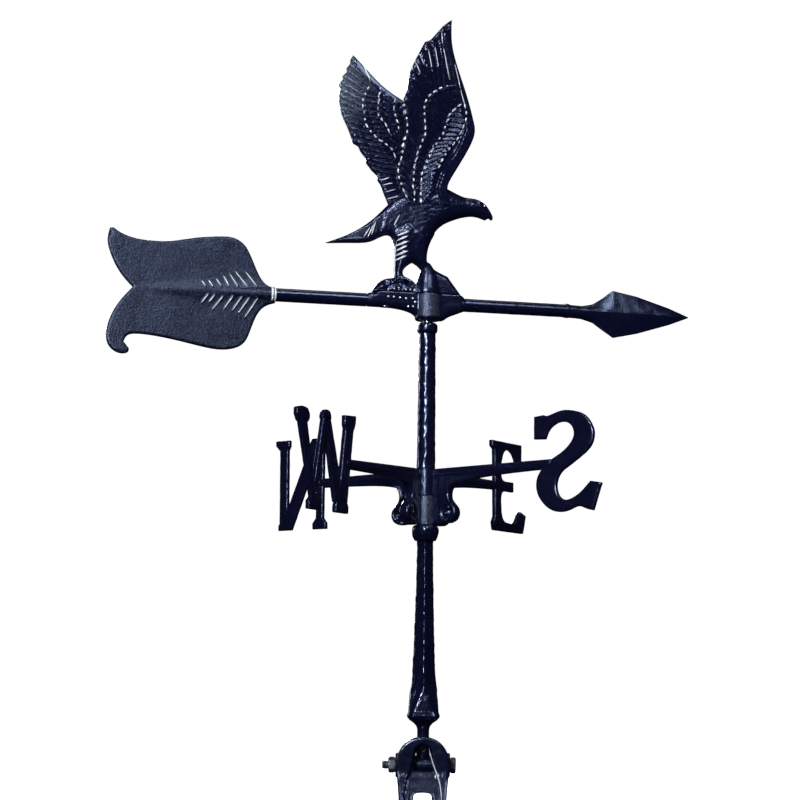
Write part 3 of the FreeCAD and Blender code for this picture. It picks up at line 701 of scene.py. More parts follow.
def hub_outline(top):
    """Side outline of the centre casting, with its seat raised or at its own height."""
    return loop(
        (HUB_REAR, -ROD_R), (HUB_REAR, ROD_R), (HUB_REAR + 8, HUB_SEAT), (HUB_REAR + 8, top),
        (HUB_FRONT - 4, top), (HUB_FRONT, ROD_R), (HUB_FRONT, -ROD_R),
        [(28, -9.6), (21, -12.6), (16, HUB_BOTTOM + 1)],
        (14, HUB_BOTTOM), (-10, HUB_BOTTOM),
        [(-14.5, -12), (-30, -7.4), (HUB_REAR, -ROD_R)],
    )


def hub_height(points, depth):
    deep = np.maximum(inset(points, [hub_outline(HUB_SEAT + 8)]), 0)
    return edge_round(deep, 6.6, 5.6) + rough(points, 7, 0.3)


def hub_shell():
    """Centre casting of the arrow: webs to both rods and a boss for the bearing."""
    web = plate([hub_outline(HUB_SEAT + 0.01)], 1.3, hub_height)
    boss = lathe([(5.4, HUB_BOTTOM), (11.4, HUB_BOTTOM), (12.4, HUB_BOTTOM + 1.2), (12.6, -4),
                  (12.6, 4), (12.6, HUB_SEAT), (5.4, HUB_SEAT)], 72)
    ridge = lathe_x([(ROD_R, x) for x in (HUB_REAR, HUB_FRONT)], 40, closed=False)
    return remeshed(joined([web, boss, ridge]), 0.8, 4)


def hub_trim():
    """Beads along the seat and over the boss's foot, in near-white as painted highlights."""
    places = ((-40.5, 3.4), (-35, 3.4), (-29, 3.0), (-23, 2.4), (-16.5, 2.8), (-14, -0.6),
              (-21, -5.5), (-16, -5))
    return joined([ball((x, side * 6.6, z), (1.0, 0.8, 0.9), 8)
                   for x, z in places for side in (-1, 1)])


def boss_sleeve():
    """Band round the boss's face, in the rougher coat with a painted broad highlight."""
    return lathe(band_profile(12.0, 12.75, HUB_BOTTOM + 2.5, HUB_SEAT - 0.6, 0.4), 72)


# ==== eagle ====================================================================================
# Drawn in the arrow's plane. The near wing is on the -Y side and the far wing on the +Y side.

WING_LEAN = 9.0
WING_HINGE_Z = 95.0
WING_Y = 8.0
WING_HALF = 2.6
WING_STEP = 0.95
BIRD_VOXEL = 0.82
# Covert feathers start this share of the way to the next row's tips.
COVERT_START = 0.9


def along(points, share):
    """Place at a share of the length of a line through points."""
    p = np.array(points, float)
    length = np.concatenate([[0], np.cumsum(np.linalg.norm(np.diff(p, axis=0), axis=1))])
    return np.array([np.interp(share * length[-1], length, p[:, i]) for i in (0, 1)])


def lay_feather(points, height, root, tip, half_width, base, lift, bow, bead):
    """Lays one feather on a height field, over whatever is there."""
    run = tip - root
    length = float(np.linalg.norm(run))
    run = run / length
    side_way = np.array([-run[1], run[0]])
    share = (points - root) @ run / length
    side = (points - root) @ side_way - bow * 4 * share * (1 - share)
    blunt = np.sqrt(np.clip(1 - (np.clip(share - 0.82, 0, 1) / 0.18) ** 2, 0, 1))
    width = half_width * blunt
    within = (share > -0.02) & (share < 1) & (np.abs(side) < width)
    q = np.where(width > 0, side / np.maximum(width, 1e-6), 0)
    barb = 0.16 * np.sin((share * length + np.abs(side) * 1.1) * 2 * math.pi / 2.7)
    quill = 0.42 * np.exp(-(side / 0.55) ** 2)
    tilt = 0.45 * q
    crown = 0.75 * (1 - q * q)
    pearl = bead * np.exp(-((1 - share) * length - 1.6) ** 2 / 2.4) * (1 - q * q)
    laid = base + lift * np.clip(share, 0, 1) + crown + tilt + quill + barb + pearl
    height[within] = laid[within]


def lay_row(points, height, roots, tips, count, half_width, base, lift, bow, bead):
    """Row of feathers between a line of roots and a line of tips, each over the one before."""
    for i in range(count):
        share = (i + 0.5) / count
        spread = half_width * (1 + 0.15 * math.sin(7 * i))
        lay_feather(points, height, along(roots, share), along(tips, share), spread,
                    base, lift, bow, bead)


def towards(line, other, share):
    """Line that lies a share of the way from one line to another."""
    return [tuple(along(line, t) * (1 - share) + along(other, t) * share)
            for t in np.linspace(0, 1, 9)]


NEAR_ROOTS = [(18.5, 205.5), (2.5, 190.5), (-3.5, 165.5), (-9.5, 138.5), (-12.5, 109.5),
              (-7.5, 82.5)]
NEAR_TIPS = [(12.5, 276), (-3, 261), (-13, 253), (-22, 235), (-30, 205.5), (-31, 167.5),
             (-36.5, 131), (-27, 94)]
COVERTS_A = [(17, 213), (10, 210), (-3, 203.5), (-11.5, 187.5), (-9.5, 167.5), (-15, 147),
             (-19.5, 125), (-18, 104), (-17, 92)]
COVERTS_B = [(23, 192), (12.5, 180), (9, 166), (-0.5, 151), (-8, 131.5), (-11.5, 122),
             (-10.5, 100), (-10.5, 92)]
COVERTS_C = [(28, 192), (30, 180), (27, 168.5), (19, 155), (9.5, 140.5), (2.5, 126.5), (-1, 106)]
NEAR_EDGE = [(13, 258), (28, 207.5), (38.5, 179.5), (40, 167.5), (33.5, 149), (19, 122.5),
             (15.5, 111.5), (20, 94)]
NEAR_TRAIL = [(-31, 189), (-27.5, 170), (-28.5, 158), (-31, 146), (-31.5, 138), (-34.5, 130),
              (-32, 116), (-22, 96)]


def wing_height(rows, edge, arm_lift, arm_from, arm_to):
    """Height field of a wing: rows of feathers, and a plain band along its leading edge."""
    def height(points, depth):
        field = np.full(len(points), 0.6)
        for roots, tips, count, half_width, base, lift, bow, bead in rows:
            lay_row(points, field, roots, tips, count, half_width, base, lift, bow, bead)
        arm = arm_lift * fade(line_gap(points, edge), arm_from, arm_to)
        field = np.maximum(field, arm + 0.4) + rough(points, 5, 0.25)
        return WING_HALF - 1.4 + field * fade(depth, -0.6, 1.6)

    return height


near_wing_height = wing_height((
    (NEAR_ROOTS, NEAR_TIPS, 25, 4.4, 0.2, 1.1, -1.6, 0),
    (towards(COVERTS_A, COVERTS_B, COVERT_START), COVERTS_A, 24, 3.5, 0.9, 1.3, 0, 1.0),
    (towards(COVERTS_B, COVERTS_C, COVERT_START), COVERTS_B, 20, 4.4, 1.4, 0.6, 0, 1.0),
), NEAR_EDGE, 3.2, 11.5, 8.5)

FAR_ROOTS = [(-46, 224), (-42.5, 209), (-39, 187.5), (-33.5, 166), (-26.5, 142.5), (-23.5, 118),
             (-22, 99)]
FAR_TIPS = [(-71.5, 254), (-78, 238), (-82, 229.5), (-86.5, 215), (-86, 200), (-80.5, 180),
            (-72, 156.5), (-56, 132), (-45, 110), (-39.5, 97)]
COVERTS_D = [(-57, 217), (-61.5, 206), (-61.5, 190.5), (-57.5, 175.5), (-46.5, 163), (-34, 151.5),
             (-31, 140), (-29, 118), (-25, 100)]
COVERTS_E = [(-45, 217), (-46.5, 201.5), (-45.5, 186.5), (-41.5, 180), (-34, 166), (-27.5, 145),
             (-22, 120), (-18, 100)]
COVERTS_F = [(-30, 205), (-31, 197), (-27.5, 184), (-25, 170), (-20, 155), (-16, 130), (-12, 104)]
FAR_EDGE = [(-62, 241), (-39, 219), (-21, 206), (-15, 192), (-9, 150), (-4, 120), (1, 97)]


far_wing_height = wing_height((
    (FAR_ROOTS, FAR_TIPS, 24, 4.0, 0.2, 1.2, 1.2, 0),
    (towards(COVERTS_D, COVERTS_E, COVERT_START), COVERTS_D, 22, 3.3, 0.9, 1.3, 0, 0.9),
    (towards(COVERTS_E, COVERTS_F, COVERT_START), COVERTS_E, 18, 3.4, 1.4, 1.4, 0, 0.9),
    (towards(COVERTS_F, FAR_EDGE[2:], 0.7), COVERTS_F, 16, 3.2, 2.0, 1.3, 0, 0.8),
), FAR_EDGE, 2.7, 7.5, 5.5)


def wing_placed(shell, side):
    """Hinges a wing outwards from the bird's back. side is -1 for the near wing."""
    hinge = Matrix.Translation((0, side * WING_Y, WING_HINGE_Z))
    lean = Matrix.Rotation(math.radians(-side * WING_LEAN), 4, "X")
    return moved(shell, hinge @ lean @ Matrix.Translation((0, 0, -WING_HINGE_Z)))


def near_outline():
    return loop(
        (20, 94),
        [(15.5, 111.5), (19, 122.5), (33.5, 149), (40, 167.5), (38, 179.5), (28.5, 207.5),
         (14, 247.5), (12, 274.5)],
        [(8, 271.5), (3.5, 267.5)],
        [(-3, 259.5), (-8, 253.5)],
        (-13, 251.5),
        [(-16, 245.5), (-21, 235)],
        [(-27, 219), (-29, 204.5), (-32.5, 192)],
        [(-29, 170.5), (-32, 141.5), (-36, 131)],
        [(-33.5, 115.5), (-22.5, 94)],
        step=0.8,
    )


def far_outline():
    return loop(
        (2, 96),
        [(-6, 150), (-14, 192), (-21, 207)],
        [(-39, 219), (-55, 235), (-70.5, 252.5)],
        (-74, 246.5), (-73, 244), (-77.5, 238), (-76.5, 235), (-81.5, 229), (-80.5, 226.5),
        (-85, 220.5), (-84, 216.5),
        [(-85.5, 209), (-84.5, 197), (-82.5, 187.5), (-78.5, 178), (-74.5, 167), (-72, 158.5)],
        (-67, 156), (-65, 151), (-60, 144), (-59.5, 139), (-54, 131.5), (-49, 126.5),
        (-48.5, 121.5), (-45.5, 117), (-42.5, 108), (-38, 96), step=0.8,
    )


def wing(outline, height, side):
    return wing_placed(plate([outline], WING_STEP, height, rings=(0.4, 1.0)), side)


def strokes(points, starts_ends, width, depth):
    """Combed lines pressed into a height field."""
    pressed = np.zeros(len(points))
    for start, end in starts_ends:
        gap, share = segment_gap(points, start, end)
        pressed = np.maximum(pressed, depth * np.exp(-(gap / width) ** 2) * (1 - 0.5 * share))
    return pressed


def body_strokes():
    """Feather lines of the neck, breast and back, all combed towards the tail."""
    lines = []
    for row in range(13):
        for column in range(16):
            u = column / 15 + random.uniform(-0.02, 0.02)
            v = row / 12 + random.uniform(-0.03, 0.03)
            x = 48 - 88 * u
            z = 104 - 10 * u - v * (18 + 30 * math.sin(math.pi * min(1, u * 0.9)))
            slant = 0.15 + 0.9 * u * v
            long = 4 + 4 * u
            lines.append(((x, z), (x - long * math.cos(slant), z - long * math.sin(slant))))
    return lines


def body_form(points, depth):
    """Half thickness of the tail, body, neck and head, without their feathers."""
    full = np.interp(points[:, 0], (-104, -75, -50, -28, -8, 8, 22, 34, 50, 58, 64),
                     (2.0, 3.4, 6.0, 9.2, 12.2, 12.2, 11.0, 9.4, 8.4, 4.2, 2.6))
    rise = np.clip(1 - depth / np.maximum(full * 1.25, 2.5), 0, 1)
    return full * np.sqrt(np.maximum(1 - rise ** 2.4, 0.006))


def body_height(points, depth):
    x, z = points[:, 0], points[:, 1]
    height = body_form(points, depth)
    tail_lines = []
    for i in range(11):
        share = i / 10
        tail_lines.append(((-44 - 6 * share, 84 - 23 * share), (-62 - 26 * share, 68 - 9 * share)))
    grooves = strokes(points, tail_lines, 0.8, 1.1)
    ruffle = strokes(points, body_strokes(), 0.75, 0.5)
    eye = np.hypot(x - 54.3, z - 98.4)
    brow = 1.0 * np.exp(-(segment_gap(points, (48.5, 102), (57.5, 99.8))[0] / 1.1) ** 2)
    socket = 1.0 * np.exp(-(eye / 2.1) ** 2)
    lens = 1.5 * np.exp(-(eye / 1.1) ** 2)
    mouth = 0.9 * np.exp(-(segment_gap(points, (61, 87), (51, 90.5))[0] / 0.7) ** 2)
    cere = 0.5 * fade(x, 57, 58.5) * (1 - fade(x, 59.5, 61))
    return np.maximum(height - grooves - ruffle + brow - socket + lens - mouth + cere, 0.35)


def body_outline():
    """Side outline of the bird's tail, body, neck and head."""
    return loop(
        (-104, 52.5),
        [(-72, 67), (-50, 84.5), (-38, 97), (-20, 108), (17, 114)],
        [(26, 110), (36, 106.5), (47, 105.5), (56, 101), (62.5, 93), (64.5, 87.5), (63, 84.8)],
        (60, 87), (57.5, 86), (57, 84.6),
        [(46, 87.8), (30, 85), (12, 76), (3, 64), (-2, 52)],
        [(-16, 47), (-31, 52)],
        [(-35, 61), (-42, 64), (-56, 57.5), (-75, 54.5), (-104, 52.5)],
    )


def body_shell():
    return plate([body_outline()], 1.1, body_height, rings=(0.4, 1.0))


LEG_GAP = [(-16, 38.7), (-22, 34.3), (-25.2, 28.5), (-21.5, 22.5), (-13.5, 18), (-7.5, 22),
           (-5.8, 28), (-9.5, 34.5), (-16, 38.7)]


def thigh_bars():
    """Feather ends down the back edge of the legs, slanting up and forwards."""
    return [((-33.0, 39.5 + 4.6 * i), (-23.5 + 1.2 * (i % 2), 43.5 + 4.6 * i)) for i in range(6)]


def legs_form(points, depth):
    """Half thickness of the legs, without their feathers."""
    full = np.interp(points[:, 1], (18, 28, 44, 60, 76), (5.5, 5.2, 8.5, 11.5, 13.0))
    rise = np.clip(1 - depth / (full * 0.95), 0, 1)
    return full * np.sqrt(np.maximum(1 - rise ** 2, 0.012))


def legs_height(points, depth):
    combed = []
    for row in range(6):
        for column in range(6):
            start = (-19 + 3.6 * column + random.uniform(-0.7, 0.7),
                     44 + 4.6 * row + random.uniform(-0.7, 0.7))
            combed.append((start, (start[0] + 3.4, start[1] + 3.8)))
    between = [((a[0], a[1] + 2.2), (b[0], b[1] + 2.2)) for a, b in thigh_bars()]
    pressed = strokes(points, combed, 0.75, 0.7) + strokes(points, between, 0.8, 1.5)
    return np.maximum(legs_form(points, depth) - pressed, 0.4)


def legs_outline():
    return loop(
        (-34.5, 18),
        [(-33.4, 34), (-33, 48), (-35, 58), (-38, 66)],
        (-24, 80), (6, 68),
        [(0.5, 56), (-1.5, 44), (-0.5, 34), (2, 18)],
    )


def legs_shell():
    """Feathered legs standing side by side on the rock, with a gap between them."""
    return plate([legs_outline(), smooth(LEG_GAP, 1.0)], 1.0, legs_height)


def toes_shell(side):
    """Toes and claws of the rear foot, gripping the rock on one side."""
    toes = []
    for angle, reach in ((-10, 13), (-35, 12), (-150, 6)):
        turn = math.radians(angle)
        for i in range(7):
            t = i / 6
            drop = 4.5 * t ** 2
            toes.append(ball((-28 + reach * t * math.cos(turn),
                              side * (3 - reach * t * math.sin(turn)), 22.5 - drop),
                             (2.6 - 1.3 * t, 2.1 - 1.1 * t, 2.3 - 1.1 * t), 8))
    return joined(toes)


ROCK_PATH = ((-56, HUB_SEAT), [(-52, 14), (-45, 20), (-30, 22), (-14, 17.5), (-5, 26), (-1, 38)],
             [(8, 32), (19, 27)], (33, HUB_SEAT))


def rock_height(points, depth):
    """Flat craggy face on the left and a plain tapering web on the right, full at the seat."""
    x, z = points[:, 0], points[:, 1]
    below = HUB_SEAT - 14
    deep = loop(*ROCK_PATH, (33, below), (-56, below))
    rise = np.clip(1 - np.maximum(inset(points, [deep]), 0) / 5, 0, 1)
    broad = np.interp(z, (HUB_SEAT, 22, 38), (7.4, 6.6, 5.0))
    crags = rough(points, 3.6, 2.2) + rough(points, 1.9, 1.4, 3.0)
    stony = 1 - fade(x, -10, -4)
    return np.maximum(broad * np.sqrt(np.maximum(1 - rise ** 2, 0.03)) + crags * stony, 0.8)


def rock_shell():
    """Craggy mound on the left, running into a smooth cone over the hub's boss."""
    mound = plate([loop(*ROCK_PATH)], 1.0, rock_height)
    cone = lathe([(12.5, HUB_SEAT), (12.3, 13), (11.2, 19), (9.2, 26), (6.2, 33), (3.2, 38),
                  (1.0, 40)], 64, closed=False)
    return joined([mound, moved(cone, Matrix.Translation((-0.5, 0, 0)))])


def eagle_shell():
    bird = remeshed(joined([body_shell(), legs_shell(), toes_shell(-1), toes_shell(1),
                            rock_shell()]), BIRD_VOXEL, 1)
    return joined([bird, wing(near_outline(), near_wing_height, -1),
                   wing(far_outline(), far_wing_height, 1)])


def wing_trim(quills, quill_r, rows, gap, tip_r, outline, height, side):
    """Quills, and dashed rows of feather tips, on both faces of a wing, for painted highlights."""
    tips = sum((dashes(row, gap) for row in rows), [])
    lit = ridge_lines(quills, quill_r, [outline], height)
    lit += ridge_lines(tips, tip_r, [outline], height, 4)
    return wing_placed(joined(lit), side)


def eagle_trim():
    """Feather tips, quills, barbs, face and rock beads as raised near-white slivers and beads:
    painted highlights on the high spots.
    """
    near = wing_trim(
        [((2, 262), (3.5, 250)), ((4.5, 247), (12.5, 216.5)), ((-4, 247), (0.5, 228)),
         ((-10.5, 244), (-5, 222.5)), ((-18.5, 238.5), (-13.5, 229)),
         ((-22.5, 231), (-17, 220.5)), ((16, 232), (23, 208)), ((23, 207), (28, 193))],
        0.45, (COVERTS_A[1:], COVERTS_B, COVERTS_C[:6], NEAR_TRAIL), 6.4, 0.85,
        near_outline(), near_wing_height, -1)
    far = wing_trim(
        [((-62, 242.5), (-54, 223.5)), ((-46.5, 120.5), (-37.5, 123.5)),
         ((-44, 115.5), (-34, 118.5)), ((-42, 108.5), (-31, 112)), ((-40, 101.5), (-28, 105))],
        0.5, (COVERTS_D[:7], COVERTS_E[:5], COVERTS_F[:4]), 6.8, 0.8,
        far_outline(), far_wing_height, 1)
    rump = [((-53.5, 76), (-57.5, 62.5)), ((-55.5, 73), (-61, 60)), ((-59, 70), (-65, 60)),
            ((-31, 83), (-36, 73))]
    # Crown and eye carry painted highlights.
    face = [((50.2, 103.3), (52.6, 102.3)), ((54, 99.4), (55, 97.2))]
    shin = [((-33.6, 21), (-33.0, 58))]
    low = ridge_lines(rump + face, 0.6, [body_outline()], body_form)
    low += ridge_lines(thigh_bars(), 0.9, [legs_outline()], legs_form)
    low += ridge_lines(shin, 0.6, [legs_outline()], legs_form)
    # Beads on the rock, near-white as painted highlights.
    beads = ((-40.5, 10.5), (-35, 11), (-30.5, 12), (-23.5, 11), (-19, 11), (-15, 10.5))
    low += [ball((x, side * 7.6, z), (0.9, 0.9, 0.8), 8) for side in (-1, 1) for x, z in beads]
    return joined([near, far] + low)


def eagle_finish():
    """A lighter patch on the far wing's long outer feathers, most of all near its tip: a painted
    sheen for the light the leaning wing catches.
    """
    spot = wing_placed((np.array([(-130, 0, 230)]), []), 1)
    place = moved(spot, placed(ARROW_HEADING, ARROW_Z))[0][0] * MM
    patch = (place, 0.045, 0.085, (0.012, 0.015, 0.03), (0.14, 0.165, 0.215))
    return casting_finish("powder_coat_painted_sheen_far_wing", COAT_DEEP, COAT_WORN, 0.16, 0.26, 700,
                          0.3, 0.15, patch=patch)


def build_arrow():
    turn = placed(ARROW_HEADING, ARROW_Z)
    for name, node, shell, finish, trims in (
        ("arrow_tail_feather", "arrow_tail", tail_shell(), CAST_TAIL, [(tail_trim(), PAINTED_HIGHLIGHT)]),
        ("arrow_spear_head", "arrow_head", head_shell(), CAST, []),
        ("arrow_centre_casting", "arrow_hub", hub_shell(), CAST,
         [(hub_trim(), PAINTED_HIGHLIGHT), (boss_sleeve(), CAST_PAINTED_BROAD_HIGHLIGHT)]),
        ("arrow_rear_rod", "rear_rod", rod_shell(TAIL_FACE, HUB_REAR, 1.0), CAST_SMOOTH, []),
        ("arrow_front_rod", "front_rod", rod_shell(HUB_FRONT, HEAD_FACE, 5.0), CAST_SMOOTH, []),
        ("eagle_casting", "eagle", eagle_shell(), eagle_finish(), [(eagle_trim(), PAINTED_HIGHLIGHT)]),
    ):
        piece(name, "vane", moved(shell, turn), finish, node,
              [(moved(extra, turn), look) for extra, look in trims])


# ==== compass letters ==========================================================================

def letter_height(points, depth):
    return edge_round(depth, 2.5, 1.3) + rough(points, 6, 0.25)


def letter_plate(*outlines):
    return [plate([outline], 1.5, letter_height, rings=(0.35, 1.0)) for outline in outlines]


def letter_e():
    half = LETTER_HALF
    return letter_plate(loop(
        (119, half - 9), (114, half - 6), (114, half), (169.5, half), (169.5, 24), (161, 24),
        [(155, 34), (145, 37.5), (137, 34.5), (132, 24)],
        (131.5, 13),
        [(133.5, 7.5), (139, 5.5)],
        (154.5, 5.5), (154.5, -4.5), (140, -4.5),
        [(133.5, -7), (131.5, -14)],
        (132.5, -26),
        [(137, -34), (146, -36), (158, -35), (165, -26), (168.5, -23)],
        (179, -26.5), (173.5, -half), (119, -half), (117.5, -37), (120.5, -31),
    ))


def letter_w():
    half = LETTER_HALF
    return letter_plate(
        loop((-200, 33), (-189, 33), (-173, -36), (-180.5, -36)),
        loop((-165, half - 3), (-155.5, half - 3), (-176, -36), (-180, -36)),
        loop((-165, half - 3), (-155.5, half - 3), (-132, -36), (-146, -36)),
        loop((-132, 33), (-119.5, 33), (-127.5, -36), (-141, -36)),
        loop(
            (-204.5, half - 2), (-204.5, 37), (-201, 31), (-188, 31),
            [(-185, 37), (-188.5, half - 1)],
            [(-196, half), (-204.5, half - 2)],
        ),
        loop(
            (-167, half - 5),
            [(-164, half), (-156.5, half), (-153.5, half - 5)],
            (-153.5, half - 8), (-167, half - 8),
        ),
        loop(
            (-133.5, half - 1), (-116, half), (-116.5, half - 7), (-119, 31), (-132, 31),
            (-133.5, 36),
        ),
        loop(
            (-185, -half), (-166.5, -half), (-166.5, -37.5), (-170.5, -34), (-182, -34),
            (-185, -37.5),
        ),
        loop(
            (-145.5, -half), (-126, -half), (-125.5, -38), (-129, -34), (-143, -34), (-145.5, -38),
        ),
    )


def letter_s():
    half = LETTER_HALF + 1.5
    return letter_plate(loop(
        (121, 23.5), (121, half - 2), (131, half - 1),
        [(134, half - 2), (147, 48), (158, 48.5), (170, 45.5), (178, 39.5), (183, 31), (184, 24),
         (181, 15), (172, 6.5), (158, -2.5), (150, -8), (146, -14), (145, -22), (148, -30),
         (154, -33.5), (162, -32), (171, -26.5), (180.5, -17.5)],
        (192, -19.5), (183.5, 2 - half),
        [(176, -42.5), (168, -40), (160, -42.5), (151, -44.5), (141, -43), (131, -36), (125, -27),
         (123.5, -18), (126, -9), (133, -1), (141, 5), (150, 10), (158, 16.5), (162.5, 23),
         (163, 29), (159, 35.5), (150, 38), (142, 35.5), (136, 30), (133, 23)],
    ))


def letter_n():
    half = LETTER_HALF
    return letter_plate(
        loop((-175.5, 36), (-165.5, 36), (-164.5, -half), (-174.5, -half)),
        loop(
            (-176, -half), (-160, -half), (-124, half - 6), (-136, half - 3), (-163, -20),
            (-176, -half + 5),
        ),
        loop((-129.5, half - 5), (-121, half - 5), (-121, -36), (-129.5, -36)),
        loop(
            (-181, half), (-163.5, half), (-163.5, half - 6), (-166, 34), (-175, 34),
            (-181, half - 5),
        ),
        loop(
            (-138.5, half - 5), (-135.5, half), (-117.5, half), (-117.5, half - 7), (-121, 35),
            (-138.5, 35),
        ),
        loop(
            (-133.5, -half), (-117, -half), (-117, -39), (-121, -34), (-129.5, -34), (-133.5, -39),
        ),
    )


def arm_shell(side, reach, rise):
    """Tapered arm from the barrel to a letter that sits higher by rise, rounded all round."""
    top, bottom = 4.6 + rise, -4.6 + rise
    outline = loop((6, 6.3), (reach, top), (reach, bottom),
                   [(75, -5.8 + rise / 2), (34, -10), (6, -20)]) * (side, 1)

    def height(points, depth):
        centre = 0.5 + rise * np.abs(points[:, 0]) / reach
        crest = 1.0 * np.exp(-((points[:, 1] - centre) / 2.0) ** 2)
        full = edge_round(depth, 2.6, 2.4) + crest + rough(points, 7, 0.25)
        return full * root_taper(points)

    return plate([outline], 1.5, height)


def root_taper(points):
    """Webs thin down where they meet the barrel, so that it stands proud of them."""
    return 0.55 + 0.45 * fade(np.abs(points[:, 0]), 10, 18)


def scroll_shell(side):
    """Scroll bracket under an arm: a web with a raised curling rim and two pellets."""
    bottom = BARREL_BOTTOM - LETTER_MID + 1.2
    rim = [(34, -7), (30, -13), (28.5, -20), (31, -26), (35, -31.5), (36, -37), (33, -42),
           (27, bottom + 1.5)]
    outline = loop((6, -4), (34, -8), [(29.5, -14), (28.5, -21), (31, -26), (36, -32), (37, -38),
                                       (34.5, -43), (29, bottom)], (6, bottom)) * (side, 1)

    def height(points, depth):
        outward = points * (side, 1)
        curl = np.hypot(outward[:, 0] - 26, outward[:, 1] + 36)
        volute = 1.2 * np.cos(curl * 2 * math.pi / 9) * np.exp(-(curl / 9) ** 2)
        ridge = 1.9 * np.exp(-(line_gap(outward, rim) / 3.2) ** 2)
        return (edge_round(depth, 2.9, 1.6) + ridge + volute) * root_taper(points)

    web = plate([outline], 1.2, height)
    pellets = [ball((side * r, way * 4.2, z), (2.2, 1.6, 2.2), 12)
               for r, z in ((28.5, -31.5), (26, -37)) for way in (-1, 1)]
    return joined([web] + pellets)


def barrel_shell(bottom, top):
    """Half-height barrel with eased ends, around the spindle."""
    bore = SPINDLE_R + 0.05
    return lathe([(bore, bottom), (BARREL_R - 0.6, bottom), (BARREL_R, bottom + 0.8),
                  (BARREL_R + 0.15, (bottom + top) / 2), (BARREL_R, top - 0.8),
                  (BARREL_R - 0.6, top), (bore, top)], 56)


def relieved(shell, bottom, top):
    """Keeps a casting's webs clear of the other casting's barrel, between two heights."""
    points, faces = shell
    clear = BARREL_R + 0.5
    radius = np.maximum(np.hypot(points[:, 0], points[:, 1]), 1e-6)
    push = (points[:, 2] > bottom) & (points[:, 2] < top) & (radius < clear)
    shift = np.where(push, np.sqrt(np.maximum(clear ** 2 - points[:, 1] ** 2, 0)), 0)
    points = points.copy()
    points[push, 0] = np.sign(points[push, 0]) * shift[push]
    return points, faces


def build_letters():
    seam = BARREL_SEAM - LETTER_MID
    low_end, high_end = BARREL_BOTTOM - LETTER_MID, BARREL_TOP - LETTER_MID
    for name, node, heading, ends, own, other, barrel_finish in (
        ("compass_north_south", "north_south_letters", SOUTH_HEADING,
         ((1, letter_s(), 140, SOUTH_RISE), (-1, letter_n(), 126, NORTH_RISE)),
         (seam, high_end), (low_end - 2, seam), CAST),
        # The lower barrel takes the rougher coat with a painted broad highlight.
        ("compass_east_west", "east_west_letters", EAST_HEADING,
         ((1, letter_e(), 124, EAST_RISE), (-1, letter_w(), 130, WEST_RISE)),
         (low_end, seam), (seam, high_end + 2), CAST_PAINTED_BROAD_HIGHLIGHT),
    ):
        webs, letters = [], []
        for side, letter, reach, rise in ends:
            webs += [arm_shell(side, reach, rise), scroll_shell(side)]
            letters.append(moved(joined(letter), Matrix.Translation((0, 0, rise))))
        shell = joined([relieved(joined(webs), *other)] + letters)
        turn = placed(heading, LETTER_MID)
        piece(name, "compass", moved(shell, turn), CAST, node,
              [(moved(barrel_shell(*own), turn), barrel_finish)])


# ==== post =====================================================================================

def column_section(z):
    """Half widths of the column's section, across its axis faces and its diagonal faces."""
    heights = (109.5, 112, 114.8, 117.4, 119.9, 121.4, 125.4, 149, COLUMN_TOP - 100,
               COLUMN_TOP - 45, COLUMN_TOP)
    axis_face = (5.7, 6.5, 9.0, 12.9, 15.0, 15.5, 14.2, 12.9, 11.4, 9.6, 8.9)
    diagonal_face = (5.7, 6.7, 10.2, 15.4, 18.4, 19.1, 16.8, 9.3, 8.2, 6.95, 6.5)
    return float(np.interp(z, heights, axis_face)), float(np.interp(z, heights, diagonal_face))


def column_shell():
    """Hammered four-sided column that opens into a square foot over a round neck."""
    turn = turns(96)
    rings = []
    heights = np.concatenate([[SOCKET_TOP, SOCKET_TOP + 0.6], np.arange(97, 109, 2.0),
                              np.arange(109.6, 128, 0.7), np.arange(128, COLUMN_TOP - 0.5, 1.6),
                              [COLUMN_TOP - 0.4, COLUMN_TOP]])
    for z in heights:
        if z <= 109.5:
            reach = 5.2 if z == SOCKET_TOP else 5.6
        else:
            axis_face, diagonal_face = column_section(z)
            planes = [(axis_face, 90 * i) for i in range(4)]
            planes += [(diagonal_face, 45 + 90 * i) for i in range(4)]
            sharpness = 26 - 15 * fade(z, 128, 165)
            total = sum((np.maximum(np.cos(turn - math.radians(way)), 0) / face) ** sharpness
                        for face, way in planes)
            reach = total ** (-1 / sharpness)
        rings.append(ring_round(reach, z, turn))
    rings += [ring_round(SPINDLE_R, z, turn) for z in (COLUMN_TOP, SOCKET_TOP)]
    points, faces = loft(rings, closed=True)
    dents = scattered(190, lambda z: column_section(z)[0] * 0.97, 140, COLUMN_TOP - 2)
    return dented(points, dents, 6.0, 0.75), faces


def spacer_shell():
    """Hammered tube with a rounded collar at its top."""
    collar_low = SPACER_TOP - 10.5
    neck, bulge = 6.4, 3.4
    profile = [(SPINDLE_R, SPACER_BOTTOM), (8.8, SPACER_BOTTOM), (9.2, SPACER_BOTTOM + 0.5)]
    for z in np.arange(SPACER_BOTTOM + 2, collar_low, 1.4):
        share = (z - SPACER_BOTTOM) / (collar_low - SPACER_BOTTOM)
        profile.append((9.2 - 0.8 * share, z))
    quarter = [math.pi / 16 * i for i in range(9)]
    profile += [(neck + bulge * math.sin(t), collar_low + bulge - bulge * math.cos(t))
                for t in quarter]
    profile += [(neck + bulge * math.cos(t), SPACER_TOP - bulge + bulge * math.sin(t))
                for t in quarter]
    profile.append((SPINDLE_R, SPACER_TOP))
    points, faces = lathe(profile, 72)
    dents = scattered(170, lambda z: 8.6, SPACER_BOTTOM + 3, collar_low)
    return dented(points, dents, 5.2, 0.55), faces


